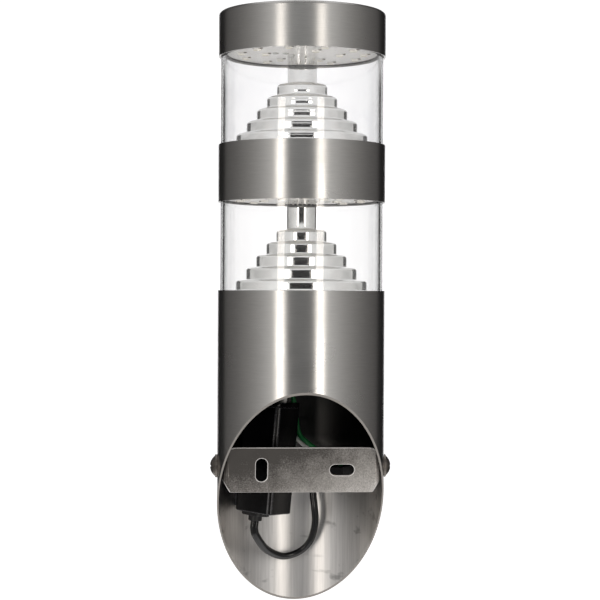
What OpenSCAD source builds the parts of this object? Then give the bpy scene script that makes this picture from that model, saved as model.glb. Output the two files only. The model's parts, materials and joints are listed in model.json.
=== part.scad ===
// Outdoor wall light: a leaning steel tube with two lit windows, held by a bracket in its slanted open end.
// The wall is the plane Y = 0, the room is on the -Y side, and +Z is up.
// The origin is the middle of the slanted rim that lies on the wall.

/* [Tube] */
// Outer diameter of the tube, the band and the cap
tube_d = 76; // [72:1:84]
// Wall of the steel sleeves
tube_wall = 0.8; // [0.6:0.1:1]
// Length along the axis from the wall plane to the top rim of the lower tube
tube_len = 96; // [94:1:120]
// Angle between the tube's axis and the wall
lean_angle = 36.3; // [35:0.1:38]

/* [Windows] */
// Visible height of each clear window
window_h = 40; // [38:1:46]
// Wall of the clear window tubes
window_wall = 1.8; // [1.5:0.1:2]
// Depth that a window goes into each sleeve
window_insert = 6.5; // [6:0.5:8]
// Radial gap between a window and its sleeves
window_fit = 0.15; // [0.1:0.05:0.3]
// Thickness of the sealing rings at the window ends
gasket_t = 2; // [1.5:0.5:3]

/* [Band and cap] */
// Height of the steel band between the windows
band_h = 26; // [24:1:32]
// Height of the cap
cap_h = 20; // [20:1:28]
// Thickness of the cap's top
cap_top_t = 1.2; // [1:0.1:1.5]
// Radius of the cap's top edge
cap_edge_r = 1.5; // [1:0.1:1.6]

/* [Reflectors] */
// Number of steps on each reflector
step_count = 5; // [4:1:5]
// Height of a step
step_h = 5.7; // [5:0.1:6.2]
// Height of the lowest step above its flange
first_step_h = 4.8; // [4:0.1:5.5]
// Width of a step's tread
step_w = 4.6; // [4:0.1:4.8]
// Radius of the lowest step
step_r = 30; // [29:0.5:31]
// Radius of a step's edge
step_round_r = 1.4; // [0.4:0.1:1.6]
// Wall of the reflectors
reflector_wall = 1.2; // [1:0.1:1.5]
// Diameter of the post in the middle
post_d = 13.5; // [13:0.5:15]
// Thickness of the reflector's flange
flange_t = 1.2; // [1:0.1:1.5]

/* [LED boards] */
// Thickness of a board
board_t = 1.6; // [1.2:0.2:2]
// Height of a board's lit face above the rim around it
board_recess = 1; // [0.8:0.1:1.6]
// Bore in the middle of a board
board_bore_d = 11; // [10.5:0.1:12]
// Width of the dark ring around a board
board_ring_w = 0.9; // [0.7:0.1:1.2]
// Drop of the dark ring below the board's face
board_ring_lip = 0.5; // [0.3:0.1:0.7]
// Radius of the outer circle of LEDs
outer_led_r = 28; // [26:0.5:29]
// Number of LEDs on the outer circle
outer_led_count = 11; // [8:1:12]
// Radius of the inner circle of LEDs
inner_led_r = 17; // [16:0.5:18]
// Length of an LED
led_l = 3.5; // [3:0.1:4]
// Width of an LED
led_w = 2.8; // [2.5:0.1:3]
// Height of an LED
led_h = 0.75; // [0.6:0.05:1]
// Length of the resistor beside each LED
chip_l = 1.6; // [1.2:0.1:1.8]
// Width of a resistor
chip_w = 0.8; // [0.6:0.1:0.9]
// Height of a resistor
chip_h = 0.5; // [0.4:0.1:0.6]
// Distance from an LED's middle to its resistor's middle, across the board
chip_gap = 4; // [3.6:0.1:4.2]
// Diameter of a solder joint
solder_d = 3; // [2.6:0.1:3.4]

/* [Inner stack] */
// Thickness of the bulkhead's ledge
bulkhead_t = 6; // [5:0.5:8]
// Diameter of the tie rod
rod_d = 6; // [5:0.5:6]
// Width across the flats of the tie nuts
nut_flats = 10; // [9:0.5:11]
// Height of the lower tie nut
nut_h = 5; // [4:0.5:6]
// Height of the thin tie nut in the cap
thin_nut_h = 3; // [2.5:0.5:3]
// Thickness of the cap's inner plate above its ledge
cap_plate_t = 6; // [5:0.5:6]
// Width of the rib that carries the cap
cap_rib_w = 3; // [2:0.5:4]
// Diameter of the rubber grommets' flanges
grommet_d = 6.6; // [6:0.2:7]

/* [Wall bracket] */
// Distance of the side screws above the wall plane, along the tube's axis
screw_rise = 16.2; // [15.8:0.1:16.6]
// Thickness of the bracket's sheet
plate_t = 1.5; // [1.2:0.1:1.8]
// Height of the plate above the side screws
plate_above = 12.2; // [11:0.1:12.5]
// Height of the plate below the side screws
plate_below = 9.3; // [9:0.1:9.6]
// Gap between the bracket's ears and the tube's inside, at the side screws
ear_gap = 1.6; // [1.5:0.1:2.2]
// Outer radius of the bends
bend_r = 2.5; // [2.2:0.1:3]
// Radius of an ear's round end
ear_r = 6; // [5:0.1:6.5]
// Width of the chamfer at the plate's lower corners
chamfer_w = 3.2; // [2.6:0.1:4]
// Height of that chamfer
chamfer_h = 5.5; // [4.5:0.1:5.5]
// Radius of the plate's upper corners
corner_r = 4.5; // [4:0.1:5]
// Length of the slots for the wall screws
slot_l = 11; // [9:0.5:12]
// Width of the slots
slot_w = 5.2; // [5:0.1:5.6]
// Distance between the middles of the slots
slot_spacing = 36.3; // [34:0.1:38]
// Swing of the loose bracket out of the wall plane
rest_swing = 21.3; // [15:0.1:24]

/* [Side screws] */
// Diameter of the screws
screw_d = 5; // [4:0.5:5]
// Diameter of the heads
head_d = 9.4; // [9:0.2:10]
// Height of the heads
head_h = 2.3; // [2:0.1:2.6]
// Diameter of the washers under the heads
washer_d = 10.5; // [10:0.1:11.5]
// Thickness of a washer
washer_t = 0.9; // [0.7:0.1:1.2]
// Radial gap between the screws and the tube's holes
screw_gap = 0.25; // [0.2:0.05:0.4]
// Radial running gap between the screws and the bracket's nuts
pivot_gap = 0.05; // [0.02:0.01:0.08]
// Height of the nuts on the ears
ear_nut_h = 4; // [3:0.5:5]
// Width across the flats of those nuts
ear_nut_flats = 8; // [8:0.5:9]

/* [Driver] */
// Length of the driver, cover included
driver_len = 52; // [50:1:54]
// Width of its wider faces
driver_w = 21.5; // [20:0.5:21.5]
// Width of its narrower faces
driver_t = 18.5; // [17.5:0.5:18.5]
// Wall of the case
driver_wall = 1.5; // [1.2:0.1:1.8]
// Radius of its long edges
driver_r = 3.5; // [3.2:0.1:3.8]
// Width of the bevel on the edge that faces out
driver_bevel = 1.4; // [1:0.1:1.8]
// Thickness of its cover
cover_t = 2; // [1.5:0.5:3]
// Turn of the driver about its own length
driver_turn = 40; // [39:1:42]
// Lean of the driver across the tube
driver_lean = 4.7; // [4:0.1:5]
// Place of its outer lower corner across the tube
driver_x = 13.9; // [13.7:0.1:14]
// Depth of that corner behind the tube's axis
driver_y = 4.8; // [4.6:0.1:4.8]
// Place of its lower end along the tube
driver_z = -7.4; // [-7.4:0.1:-6.4]
// Length of the foam pad that holds it to the tube
pad_len = 20; // [16:1:24]
// Width of that pad
pad_w = 12; // [10:1:14]
// Thickness of the driver's circuit board
pcb_t = 1.6; // [1.2:0.2:2]

/* [Wires] */
// Diameter of the black lead
lead_d = 3.8; // [3.4:0.1:4]
// Diameter of the green and white wires
wire_d = 2.2; // [1.8:0.1:2.2]
// Diameter of the thin wires to the boards
feed_d = 1.2; // [1:0.1:1.2]
// Length of the lead's flange on the driver
gland_l = 14; // [12:0.5:14]
// Width of that flange
gland_w = 8; // [7:0.5:8]
// Thickness of that flange
gland_t = 1.6; // [1.2:0.1:2]
// Length of the boot under it
boot_len = 2.5; // [2:0.5:3]
// Diameter of the boot
boot_d = 6.4; // [6:0.2:7]

/* [Terminal block] */
// Width of the block
block_w = 22; // [21:0.5:22]
// Height of the block
block_h = 10.5; // [10:0.5:11]
// Depth of the block
block_t = 12; // [11:0.5:12]
// Spacing of its three poles
pole_pitch = 7; // [6.5:0.5:7]
// Diameter of its clamp screws
clamp_d = 3.2; // [2.8:0.2:3.6]
// Turn of the block round the tube's axis
block_turn = -120; // [-124:1:-118]
// Place of its lower end along the tube
block_z = 3.5; // [3:0.5:4]
// Distance from the axis to its front
block_front = 22; // [21.5:0.5:22]

/* [Earth terminal] */
// Place of the earth screw across the tube
earth_x = 10; // [9:0.5:12]
// Depth of the earth screw behind the axis
earth_y = 20; // [18:0.5:22]
// Diameter of the earth screw
earth_d = 4; // [3:0.5:4]
// Diameter of the ring terminal
ring_d = 8; // [7.5:0.5:9]
// Thickness of the ring terminal
ring_t = 0.8; // [0.6:0.1:1]
// Length of its barrel
barrel_len = 5.7; // [5:0.1:6.5]
// Distance from its ring's middle to its barrel
barrel_reach = 5.5; // [5:0.1:6.5]

/* [Hidden] */
$fn = 96;
steel = "#8d8884";
bright_steel = "#b9b5b0";
black = "#17171a";
white = "#f1f1ee";
overrun = 1;
fine_sides = 240;
hex_sides = 6;
round_steps = 4;
wire_sides = 8;
half = 0.5;
half_turn = 180;

// Heights along the tube's axis
top_z = tube_len;
band_z = top_z + window_h;
upper_z = band_z + band_h;
cap_z = upper_z + window_h;
light_top = cap_z + cap_h;

// Radii from the axis outwards
tube_r = tube_d / 2;
inner_r = tube_r - tube_wall;
window_r = inner_r - window_fit;
window_bore_r = window_r - window_wall;
boss_r = window_bore_r - window_fit;
board_r = boss_r - board_ring_w;
post_r = post_d / 2;

// The slanted cut and the side screws
tip_drop = tube_r / tan(lean_angle);
rim_half_h = tube_r / sin(lean_angle);
pivot_out = screw_rise * sin(lean_angle);
pivot_up = screw_rise * cos(lean_angle);

// Reflector places
flange_sink = 0.1;
reflector_drop = flange_sink + flange_t;
post_top = reflector_drop + window_h + board_recess;

// Ledges that the windows and their gaskets stand on
gasket_drop = window_insert + gasket_t;
bulkhead_z = top_z - gasket_drop - bulkhead_t;
cap_ledge_z = cap_z + gasket_drop;
rod_gap = 0.1;
rod_end = 2;
rod_low_z = bulkhead_z - washer_t - nut_h - rod_end;
rod_top_z = cap_ledge_z + cap_plate_t + thin_nut_h;
washer_share = 1.2;

// Pocket for the wires behind each board, and the joints beside it
pocket_l = 15;
pocket_w = 12;
pocket_h = 3.8;
joint_x = [12.5, 8];
joint_y = 6.5;
link_joint_y = 10.5;
joint_hole_gap = 0.3;
solder_h = 0.7;
chip_shift = 1.6;
first_led_angle = 8.5;
inner_led_count = 5;

// Grommet holes through the bulkhead, across and behind the axis
grommet_places = [[10, -8], [17, -11]];
grommet_bore_r = feed_d / 2 + window_fit;
grommet_neck_r = 2.5;
grommet_flange_t = 1;

// Bracket outline, from the side screws' axis
ear_x = inner_r - ear_gap;
shoulder_h = 6.2;
shoulder_w = 0.8;
neck_h = 8.4;

// Driver frame
driver_end_z = driver_len - cover_t;
plug_gap = 0.2;
plug_t = 2;
pcb_y = 6;
pcb_margin = 8;
pcb_len = driver_len - pcb_margin;
part_gap = 2;
gland_at = [5.5, 12.1];
white_at = [8, 3];
output_at = [[8, 12], [8, 15.5]];
cavity_w = driver_t - 2 * driver_wall;
part_room = driver_w - driver_wall - pcb_y - pcb_t - part_gap;

// Terminal block frame
pole_share = 0.5;
block_back = block_front + block_t;
recess_d = 1.2;
clamp_sink = 0.6;

// Routes of the wires, along the tube: across, towards the wall, and up
lead_route = [
    [19, -18.5, -19], [14, -25.5, -26], [6, -31, -30], [-2, -32.5, -28], [-7, -31, -22.5],
    [-9, -28.5, -14], [-8.6, -27.3, -6.5]
];
white_route = [
    [-9.8, -25.7, 19.5], [-5.2, -27.4, 22], [-0.8, -29.2, 25.5], [2, -30.3, 31], [3.5, -30.6, 38],
    [6, -29.6, 45],
    over_driver([16.3, 13.5, 6.1]), over_driver([11.6, 10.6, 8]), over_driver([8.9, 6, 6.2])
];
earth_low = 44;
earth_rise = bulkhead_z - 10.5 - earth_low;
earth_route = [
    [-15.5, -22, 19], [-9.3, -23.8, 21.5], [-5, -25.2, 24.5], [-1.2, -26.8, 28.5], [0.2, -27.8, 36],
    [1.5, -27.3, earth_low], [4.5, -25, earth_low + 0.45 * earth_rise],
    [4.5, -21, earth_low + 0.8 * earth_rise],
    [4.5, -20, earth_low + earth_rise]
];
output_routes = [
    [
        over_driver([3.4, 7.9, 12.3]), [10.5, -8.5, bulkhead_z - 11.5], [10, -8, bulkhead_z - 3.5],
        [10, -8, top_z + 1], [9, -8, top_z + 7], [2, -9, top_z + 13], [-3, -5.5, top_z + 20],
        [-3.9, -1.6, top_z + 27], [-3.9, -1.6, band_z - 5], [-4.1, -1.9, band_z + 3],
        [-5.6, -2.8, band_z + 4.2], [-11, -6, band_z + 4.2], [-12.5, -6.5, band_z + 4.1]
    ],
    [
        over_driver([2.2, 12.5, 12]), [17, -11, bulkhead_z - 11.5], [17, -11, bulkhead_z - 3.5],
        [17, -11, top_z + 1], [14, -12, top_z + 7], [5, -12, top_z + 13], [-1.5, -7, top_z + 20],
        [-2.4, -3.4, top_z + 27], [-2.4, -3.4, band_z - 5], [-2.5, -3.6, band_z + 3],
        [-3.8, -4.5, band_z + 4.2], [-7, -6.2, band_z + 4.2], [-8, -6.5, band_z + 4.1]
    ]
];
link_routes = [
    [
        [-12.5, -10.5, band_z + 4.9], [-11.6, -9.8, band_z + 5.6], [-3.2, -4.4, band_z + 5.6],
        [-1.2, -4, band_z + 6.8], [1, -4.1, band_z + 14], [3.4, -2.5, upper_z + 3], [4.2, 0.3, upper_z + 18],
        [3.9, 1.6, cap_z - 7], [4.1, 1.9, cap_z + 3], [5.6, 2.8, cap_z + 4.2], [11, 6, cap_z + 4.2],
        [12.5, 6.5, cap_z + 4.1]
    ],
    [
        [-8, -10.5, band_z + 4.9], [-7.4, -9.7, band_z + 5.6], [-1.4, -5.2, band_z + 5.6],
        [0.8, -3.9, band_z + 6.8], [2.8, -3.1, band_z + 14], [4.2, -0.8, upper_z + 3], [3.7, 2, upper_z + 18],
        [2.4, 3.4, cap_z - 7], [2.5, 3.6, cap_z + 3], [3.8, 4.5, cap_z + 4.2], [7, 6.2, cap_z + 4.2],
        [8, 6.5, cap_z + 4.1]
    ]
];
lead_turn_len = 4;
wire_turn_len = 2.5;
feed_turn_len = 3;
block_out = (block_front + block_back) * pole_share;

// A point of the driver's frame, in the tube's frame
function driver_point(p) =
    let (
        turn = -(half_turn / 2 + driver_turn),
        q = [p[0] * cos(turn) - p[1] * sin(turn), p[0] * sin(turn) + p[1] * cos(turn), p[2]]
    )
    [
        driver_x + q[0] * cos(driver_lean) - q[2] * sin(driver_lean),
        q[1] - driver_y,
        driver_z + q[0] * sin(driver_lean) + q[2] * cos(driver_lean)
    ];

// A point of the driver's frame, counted from its upper end
function over_driver(p) = driver_point([p[0], p[1], driver_len + p[2]]);

// A pole of the terminal block, counted from its left
function pole_point(pole, z) =
    let (side = (1 - pole) * pole_pitch)
    [
        block_out * cos(block_turn) - side * sin(block_turn),
        block_out * sin(block_turn) + side * cos(block_turn),
        z
    ];

function unit(v) = v / norm(v);

function tangent(p, i) =
    let (
        back = i > 0 ? unit(p[i] - p[i - 1]) : [0, 0, 0],
        ahead = i < len(p) - 1 ? unit(p[i + 1] - p[i]) : [0, 0, 0]
    )
    unit(back + ahead);

function carried(p, u, i = 0) =
    i == len(p)
        ? []
        : let (t = tangent(p, i), w = unit(u - (u * t) * t)) concat([w], carried(p, w, i + 1));

function corner(x, y, r, from, to) =
    [for (k = [0:round_steps])
        let (a = from + (to - from) * k / round_steps)
        [x + r * cos(a), y + r * sin(a)]];

// A wire swept along its points
module wire(points, d) {
    side = carried(points, [0.2, 1, 0.1]);
    n = wire_sides;
    last = len(points) - 1;
    vertices = [
        for (i = [0:last])
            let (t = tangent(points, i), w = side[i], v = cross(t, w))
            for (k = [0:n - 1])
                points[i] + d / 2 * (cos(k * 2 * half_turn / n) * w + sin(k * 2 * half_turn / n) * v)
    ];
    skin = [
        for (i = [0:last - 1])
            for (k = [0:n - 1])
                let (a = i * n + k, b = i * n + (k + 1) % n)
                for (face = [[a, a + n, b + n], [a, b + n, b]])
                    face
    ];
    start = [for (k = [0:n - 1]) k];
    end = [for (k = [n - 1:-1:0]) last * n + k];
    polyhedron(points = vertices, faces = concat([start, end], skin), convexity = 6);
}

module on_axis() {
    rotate([lean_angle, 0, 0])
        children();
}

module at_screws() {
    translate([0, -pivot_out, pivot_up])
        rotate([rest_swing, 0, 0])
            children();
}

module in_driver() {
    translate([driver_x, -driver_y, driver_z])
        rotate([0, -driver_lean, 0])
            rotate([0, 0, -(half_turn / 2 + driver_turn)])
                children();
}

module ring(outer, inner, z, h) {
    translate([0, 0, z])
        difference() {
            cylinder(r = outer, h = h);
            translate([0, 0, -overrun])
                cylinder(r = inner, h = h + 2 * overrun);
        }
}

// A bar along X on both sides of the tube, at the side screws
module both_sides() {
    for (side = [0, 1])
        mirror([side, 0, 0])
            children();
}

module across(r, from, to, sides = 96) {
    translate([from, 0, 0])
        rotate([0, 90, 0])
            cylinder(r = r, h = to - from, $fn = sides);
}

module lower_tube() {
    color(steel)
        difference() {
            on_axis()
                difference() {
                    ring(tube_r, inner_r, -tip_drop - overrun, top_z + tip_drop + overrun);
                    translate([0, 0, screw_rise])
                        across(screw_d / 2 + screw_gap, -tube_r - overrun, tube_r + overrun);
                }
            translate([-tube_d, 0, -2 * rim_half_h])
                cube([2 * tube_d, 2 * rim_half_h, 4 * rim_half_h]);
        }
}

module middle_band() {
    color(steel)
        on_axis()
            ring(tube_r, inner_r, band_z, band_h);
}

module top_cap() {
    outline = concat(
        [[inner_r, 0], [tube_r, 0]],
        corner(tube_r - cap_edge_r, cap_h - cap_edge_r, cap_edge_r, 0, half_turn / 2),
        [[0, cap_h], [0, cap_h - cap_top_t], [inner_r, cap_h - cap_top_t]]
    );
    color(steel)
        on_axis()
            translate([0, 0, cap_z])
                rotate_extrude()
                    polygon(outline);
}

module window(z) {
    color(white, 0.3)
        on_axis()
            ring(window_r, window_bore_r, z - window_insert, window_h + 2 * window_insert);
}

module lower_window() {
    window(top_z);
}

module upper_window() {
    window(upper_z);
}

module gaskets(z) {
    color(black)
        on_axis()
            for (seat = [z - gasket_drop, z + window_h + window_insert])
                ring(inner_r, window_bore_r, seat, gasket_t);
}

module lower_gaskets() {
    gaskets(top_z);
}

module upper_gaskets() {
    gaskets(upper_z);
}

// A moulded mirror: a flange, round-edged steps and a hollow post, turned about the axis
module reflector(z) {
    steps = [0:step_count - 1];
    back_steps = [step_count - 1:-1:0];
    tops = [for (k = steps) flange_t + first_step_h + k * step_h];
    radii = [for (k = steps) step_r - k * step_w];
    outside = [
        for (k = steps)
            for (p = concat(
                [[radii[k], k > 0 ? tops[k - 1] : flange_t]],
                corner(radii[k] - step_round_r, tops[k] - step_round_r, step_round_r, 0, half_turn / 2)
            ))
                p
    ];
    inside = [
        for (k = back_steps)
            for (p = [
                [radii[k] - reflector_wall, tops[k] - reflector_wall],
                [radii[k] - reflector_wall, k > 0 ? tops[k - 1] - reflector_wall : 0]
            ])
                p
    ];
    post = [
        [post_r, tops[step_count - 1]], [post_r, post_top], [post_r - reflector_wall, post_top],
        [post_r - reflector_wall, tops[step_count - 1] - reflector_wall]
    ];
    color("#d9dadc")
        on_axis()
            translate([0, 0, z - reflector_drop])
                rotate_extrude()
                    polygon(concat([[boss_r, 0], [boss_r, flange_t]], outside, post, inside));
}

module lower_reflector() {
    reflector(top_z);
}

module upper_reflector() {
    reflector(upper_z);
}

// Things on a board, whose lit face looks down at its window; the lower board is turned half round
module on_board(rim_z, turn) {
    on_axis()
        translate([0, 0, rim_z + board_recess])
            rotate([0, 0, turn])
                children();
}

module joint_places(rows) {
    for (x = joint_x)
        for (y = rows)
            translate([x, y, 0])
                children();
}

module led_board(rim_z, turn, rows) {
    color(white)
        on_board(rim_z, turn)
            difference() {
                cylinder(r = board_r, h = board_t);
                translate([0, 0, -overrun]) {
                    cylinder(d = board_bore_d, h = board_t + 2 * overrun);
                    joint_places(rows)
                        cylinder(r = feed_d / 2 + joint_hole_gap, h = board_t + 2 * overrun);
                }
            }
}

module board_ring(rim_z) {
    color(black)
        on_board(rim_z, 0)
            ring(boss_r, board_r, -board_ring_lip, board_ring_lip + board_t);
}

module led_places() {
    outer_step = 2 * half_turn / outer_led_count;
    for (k = [0:outer_led_count - 1])
        rotate(first_led_angle - k * outer_step)
            translate([outer_led_r, 0, 0])
                rotate(k * outer_step - first_led_angle)
                    children();
    for (k = [0:inner_led_count - 1])
        rotate(first_led_angle - 2 * k * outer_step)
            translate([inner_led_r, 0, 0])
                rotate(2 * k * outer_step - first_led_angle)
                    children();
}

module leds(rim_z, turn) {
    color("#f3e3a8")
        on_board(rim_z, turn)
            led_places()
                translate([-led_l / 2, -led_w / 2, -led_h])
                    cube([led_l, led_w, led_h]);
}

module resistors(rim_z, turn) {
    color("#2b2622")
        on_board(rim_z, turn)
            led_places()
                translate([-chip_shift - chip_l / 2, chip_gap - chip_w / 2, -chip_h])
                    cube([chip_l, chip_w, chip_h]);
}

module solder(rim_z, turn, rows) {
    color("#c9cbc4")
        on_board(rim_z, turn)
            joint_places(rows)
                translate([0, 0, -solder_h])
                    rotate_extrude()
                        polygon(concat(
                            [[0, solder_h], [0, 0]],
                            [for (k = [1:round_steps])
                                let (a = half_turn / 2 * k / round_steps)
                                [solder_d / 2 * sin(a), solder_h * (1 - cos(a))]]
                        ));
}

module lower_led_board() {
    led_board(band_z, half_turn, [joint_y, link_joint_y]);
}

module upper_led_board() {
    led_board(cap_z, 0, [joint_y]);
}

module lower_board_ring() {
    board_ring(band_z);
}

module upper_board_ring() {
    board_ring(cap_z);
}

module lower_leds() {
    leds(band_z, half_turn);
}

module upper_leds() {
    leds(cap_z, 0);
}

module lower_resistors() {
    resistors(band_z, half_turn);
}

module upper_resistors() {
    resistors(cap_z, 0);
}

module lower_solder() {
    solder(band_z, half_turn, [joint_y, link_joint_y]);
}

module upper_solder() {
    solder(cap_z, 0, [joint_y]);
}

module tube_bulkhead() {
    boss_top = top_z - reflector_drop;
    color(bright_steel)
        on_axis()
            difference() {
                union() {
                    translate([0, 0, bulkhead_z])
                        cylinder(r = inner_r, h = bulkhead_t);
                    translate([0, 0, bulkhead_z])
                        cylinder(r = boss_r, h = boss_top - bulkhead_z);
                }
                translate([0, 0, bulkhead_z - overrun])
                    cylinder(r = rod_d / 2 + rod_gap, h = boss_top - bulkhead_z + 2 * overrun);
                for (place = grommet_places)
                    translate([place[0], place[1], bulkhead_z - overrun])
                        cylinder(r = grommet_neck_r, h = boss_top - bulkhead_z + 2 * overrun);
                translate([earth_x, -earth_y, bulkhead_z - overrun])
                    cylinder(d = earth_d, h = bulkhead_t + overrun);
            }
}

module board_pocket(z, turn) {
    rotate([0, 0, turn])
        translate([0, 0, z - overrun])
            cube([pocket_l, pocket_w, pocket_h + overrun]);
}

module band_carrier() {
    low_z = band_z + board_recess + board_t;
    ledge_z = band_z + gasket_drop;
    ledge_h = band_h - 2 * gasket_drop;
    high_z = upper_z - reflector_drop;
    color(bright_steel)
        on_axis()
            difference() {
                union() {
                    translate([0, 0, low_z])
                        cylinder(r = boss_r, h = high_z - low_z);
                    translate([0, 0, ledge_z])
                        cylinder(r = inner_r, h = ledge_h);
                }
                translate([0, 0, low_z - overrun])
                    cylinder(d = board_bore_d, h = high_z - low_z + 2 * overrun);
                board_pocket(low_z, half_turn);
            }
}

module cap_carrier() {
    low_z = cap_z + board_recess + board_t;
    plate_top = cap_ledge_z + cap_plate_t;
    rib_h = light_top - cap_top_t - cap_ledge_z;
    color(bright_steel)
        on_axis()
            difference() {
                union() {
                    translate([0, 0, low_z])
                        cylinder(r = boss_r, h = plate_top - low_z);
                    translate([0, 0, cap_ledge_z])
                        cylinder(r = inner_r, h = cap_plate_t);
                    ring(inner_r, inner_r - cap_rib_w, cap_ledge_z, rib_h);
                }
                translate([0, 0, low_z - overrun])
                    cylinder(d = board_bore_d, h = cap_ledge_z - low_z + overrun);
                translate([0, 0, low_z])
                    cylinder(r = rod_d / 2 + rod_gap, h = plate_top - low_z + overrun);
                board_pocket(low_z, 0);
            }
}

module tie_rod() {
    color(bright_steel)
        on_axis()
            translate([0, 0, rod_low_z])
                cylinder(d = rod_d, h = rod_top_z - rod_low_z);
}

module hex_nut(z, h) {
    translate([0, 0, z])
        difference() {
            cylinder(r = nut_flats / 2 / cos(half_turn / hex_sides), h = h, $fn = hex_sides);
            translate([0, 0, -overrun])
                cylinder(d = rod_d, h = h + 2 * overrun);
        }
}

module tie_nuts() {
    color(bright_steel)
        on_axis() {
            hex_nut(bulkhead_z - washer_t - nut_h, nut_h);
            hex_nut(cap_ledge_z + cap_plate_t, thin_nut_h);
        }
}

module tie_washer() {
    color(bright_steel)
        on_axis()
            ring(nut_flats * washer_share / 2, rod_d / 2 + rod_gap, bulkhead_z - washer_t, washer_t);
}

module wire_grommets() {
    neck_h_all = top_z - reflector_drop - bulkhead_z;
    color(black)
        on_axis()
            for (place = grommet_places)
                translate([place[0], place[1], bulkhead_z - grommet_flange_t])
                    difference() {
                        union() {
                            cylinder(d = grommet_d, h = grommet_flange_t);
                            cylinder(r = grommet_neck_r, h = grommet_flange_t + neck_h_all);
                        }
                        translate([0, 0, -overrun])
                            cylinder(r = grommet_bore_r, h = grommet_flange_t + neck_h_all + 2 * overrun);
                    }
}

// The side screws run along X and stay with the tube
module at_rise() {
    on_axis()
        translate([0, 0, screw_rise])
            children();
}

module side_screws() {
    seat = tube_r + washer_t;
    dome_r = (head_d * head_d / 4 + head_h * head_h) / (2 * head_h);
    nut_end = ear_x - plate_t - ear_nut_h;
    tip = 0.6;
    drive_l = 4.4;
    drive_w = 1;
    drive_depth = 1.3;
    color(bright_steel)
        at_rise()
            both_sides()
                difference() {
                    union() {
                        across(screw_d / 2, nut_end - tip, seat + head_h * half);
                        rotate([0, 90, 0])
                            rotate_extrude()
                                intersection() {
                                    translate([0, seat + head_h - dome_r])
                                        circle(r = dome_r);
                                    translate([0, seat])
                                        square(head_d);
                                }
                    }
                    for (turn = [0, half_turn / 2])
                        rotate([turn, 0, 0])
                            translate([seat + head_h - drive_depth, -drive_l / 2, -drive_w / 2])
                                cube([drive_depth + overrun, drive_l, drive_w]);
                }
}

module screw_washers() {
    washer_gap = 0.15;
    color(steel)
        at_rise()
            both_sides()
                difference() {
                    across(washer_d / 2, tube_r - overrun, tube_r + washer_t);
                    translate([0, 0, -washer_d])
                        cylinder(r = tube_r, h = 2 * washer_d, $fn = fine_sides);
                    across(screw_d / 2 + washer_gap, tube_r - 2 * overrun, tube_r + washer_t + overrun);
                }
}

// The driver lies with one long edge towards the open end; that edge is bevelled, the others are round
module driver_section(inset) {
    w = driver_t - 2 * inset;
    l = driver_w - 2 * inset;
    r = driver_r - inset;
    translate([inset, inset])
        difference() {
            union() {
                translate([r, 0])
                    square([w - 2 * r, l]);
                translate([0, r])
                    square([w, l - 2 * r]);
                for (x = [r, w - r])
                    for (y = [r, l - r])
                        translate([x, y])
                            circle(r = r);
                square(r);
            }
            polygon([
                [-overrun, -overrun], [driver_bevel + overrun, -overrun], [-overrun, driver_bevel + overrun]
            ]);
        }
}

module driver_case() {
    color(black)
        on_axis()
            in_driver()
                difference() {
                    linear_extrude(height = driver_end_z)
                        driver_section(0);
                    translate([0, 0, driver_wall])
                        linear_extrude(height = driver_end_z)
                            driver_section(driver_wall);
                }
}

module driver_cover() {
    color(black)
        on_axis()
            in_driver()
                union() {
                    translate([0, 0, driver_end_z])
                        linear_extrude(height = cover_t)
                            driver_section(0);
                    translate([0, 0, driver_end_z - plug_t])
                        linear_extrude(height = plug_t)
                            driver_section(driver_wall + plug_gap);
                }
}

module driver_pad() {
    color("#3a3a3c")
        on_axis()
            intersection() {
                translate([0, 0, driver_z])
                    cylinder(r = inner_r, h = driver_len);
                in_driver()
                    translate([(driver_t - pad_w) / 2, driver_w, driver_wall])
                        cube([pad_w, driver_t, pad_len]);
            }
}

module driver_board() {
    color("#1f5c3a")
        on_axis()
            in_driver()
                translate([driver_wall, pcb_y, driver_wall])
                    cube([cavity_w, pcb_t, pcb_len]);
}

module driver_transformer() {
    core_h = pcb_len / 3;
    color("#b08a2e")
        on_axis()
            in_driver()
                translate([driver_wall + part_gap, pcb_y + pcb_t, driver_end_z - part_gap - core_h])
                    cube([cavity_w - 2 * part_gap, part_room, core_h]);
}

module driver_capacitors() {
    can_d = 7;
    color("#33404f")
        on_axis()
            in_driver()
                for (z = [driver_wall + 2 * part_gap, driver_wall + 3 * part_gap + can_d])
                    translate([driver_t / 2, pcb_y + pcb_t, z + can_d / 2])
                        rotate([-90, 0, 0])
                            cylinder(d = can_d, h = part_room);
}

module lead_gland() {
    color(black)
        on_axis()
            in_driver()
                translate([gland_at[0], gland_at[1], 0])
                    union() {
                        translate([0, 0, -gland_t])
                            linear_extrude(height = gland_t)
                                union() {
                                    square([gland_w, gland_l - gland_w], center = true);
                                    for (side = [-1, 1])
                                        translate([0, side * (gland_l - gland_w) / 2])
                                            circle(d = gland_w);
                                }
                        translate([0, 0, -gland_t - boot_len])
                            cylinder(d = boot_d, h = boot_len + gland_t / 2);
                    }
}

module driver_lead() {
    start_z = -gland_t - boot_len;
    color(black)
        on_axis()
            wire(concat(
                [
                    driver_point([gland_at[0], gland_at[1], start_z]),
                    driver_point([gland_at[0], gland_at[1], start_z - lead_turn_len])
                ],
                lead_route,
                [pole_point(0, block_z - lead_turn_len), pole_point(0, block_z)]
            ), lead_d);
}

module white_wire() {
    color(white)
        on_axis()
            wire(concat(
                [pole_point(1, block_z + block_h), pole_point(1, block_z + block_h + wire_turn_len)],
                white_route,
                [
                    driver_point([white_at[0], white_at[1], driver_len + wire_turn_len]),
                    driver_point([white_at[0], white_at[1], driver_len])
                ]
            ), wire_d);
}

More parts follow.
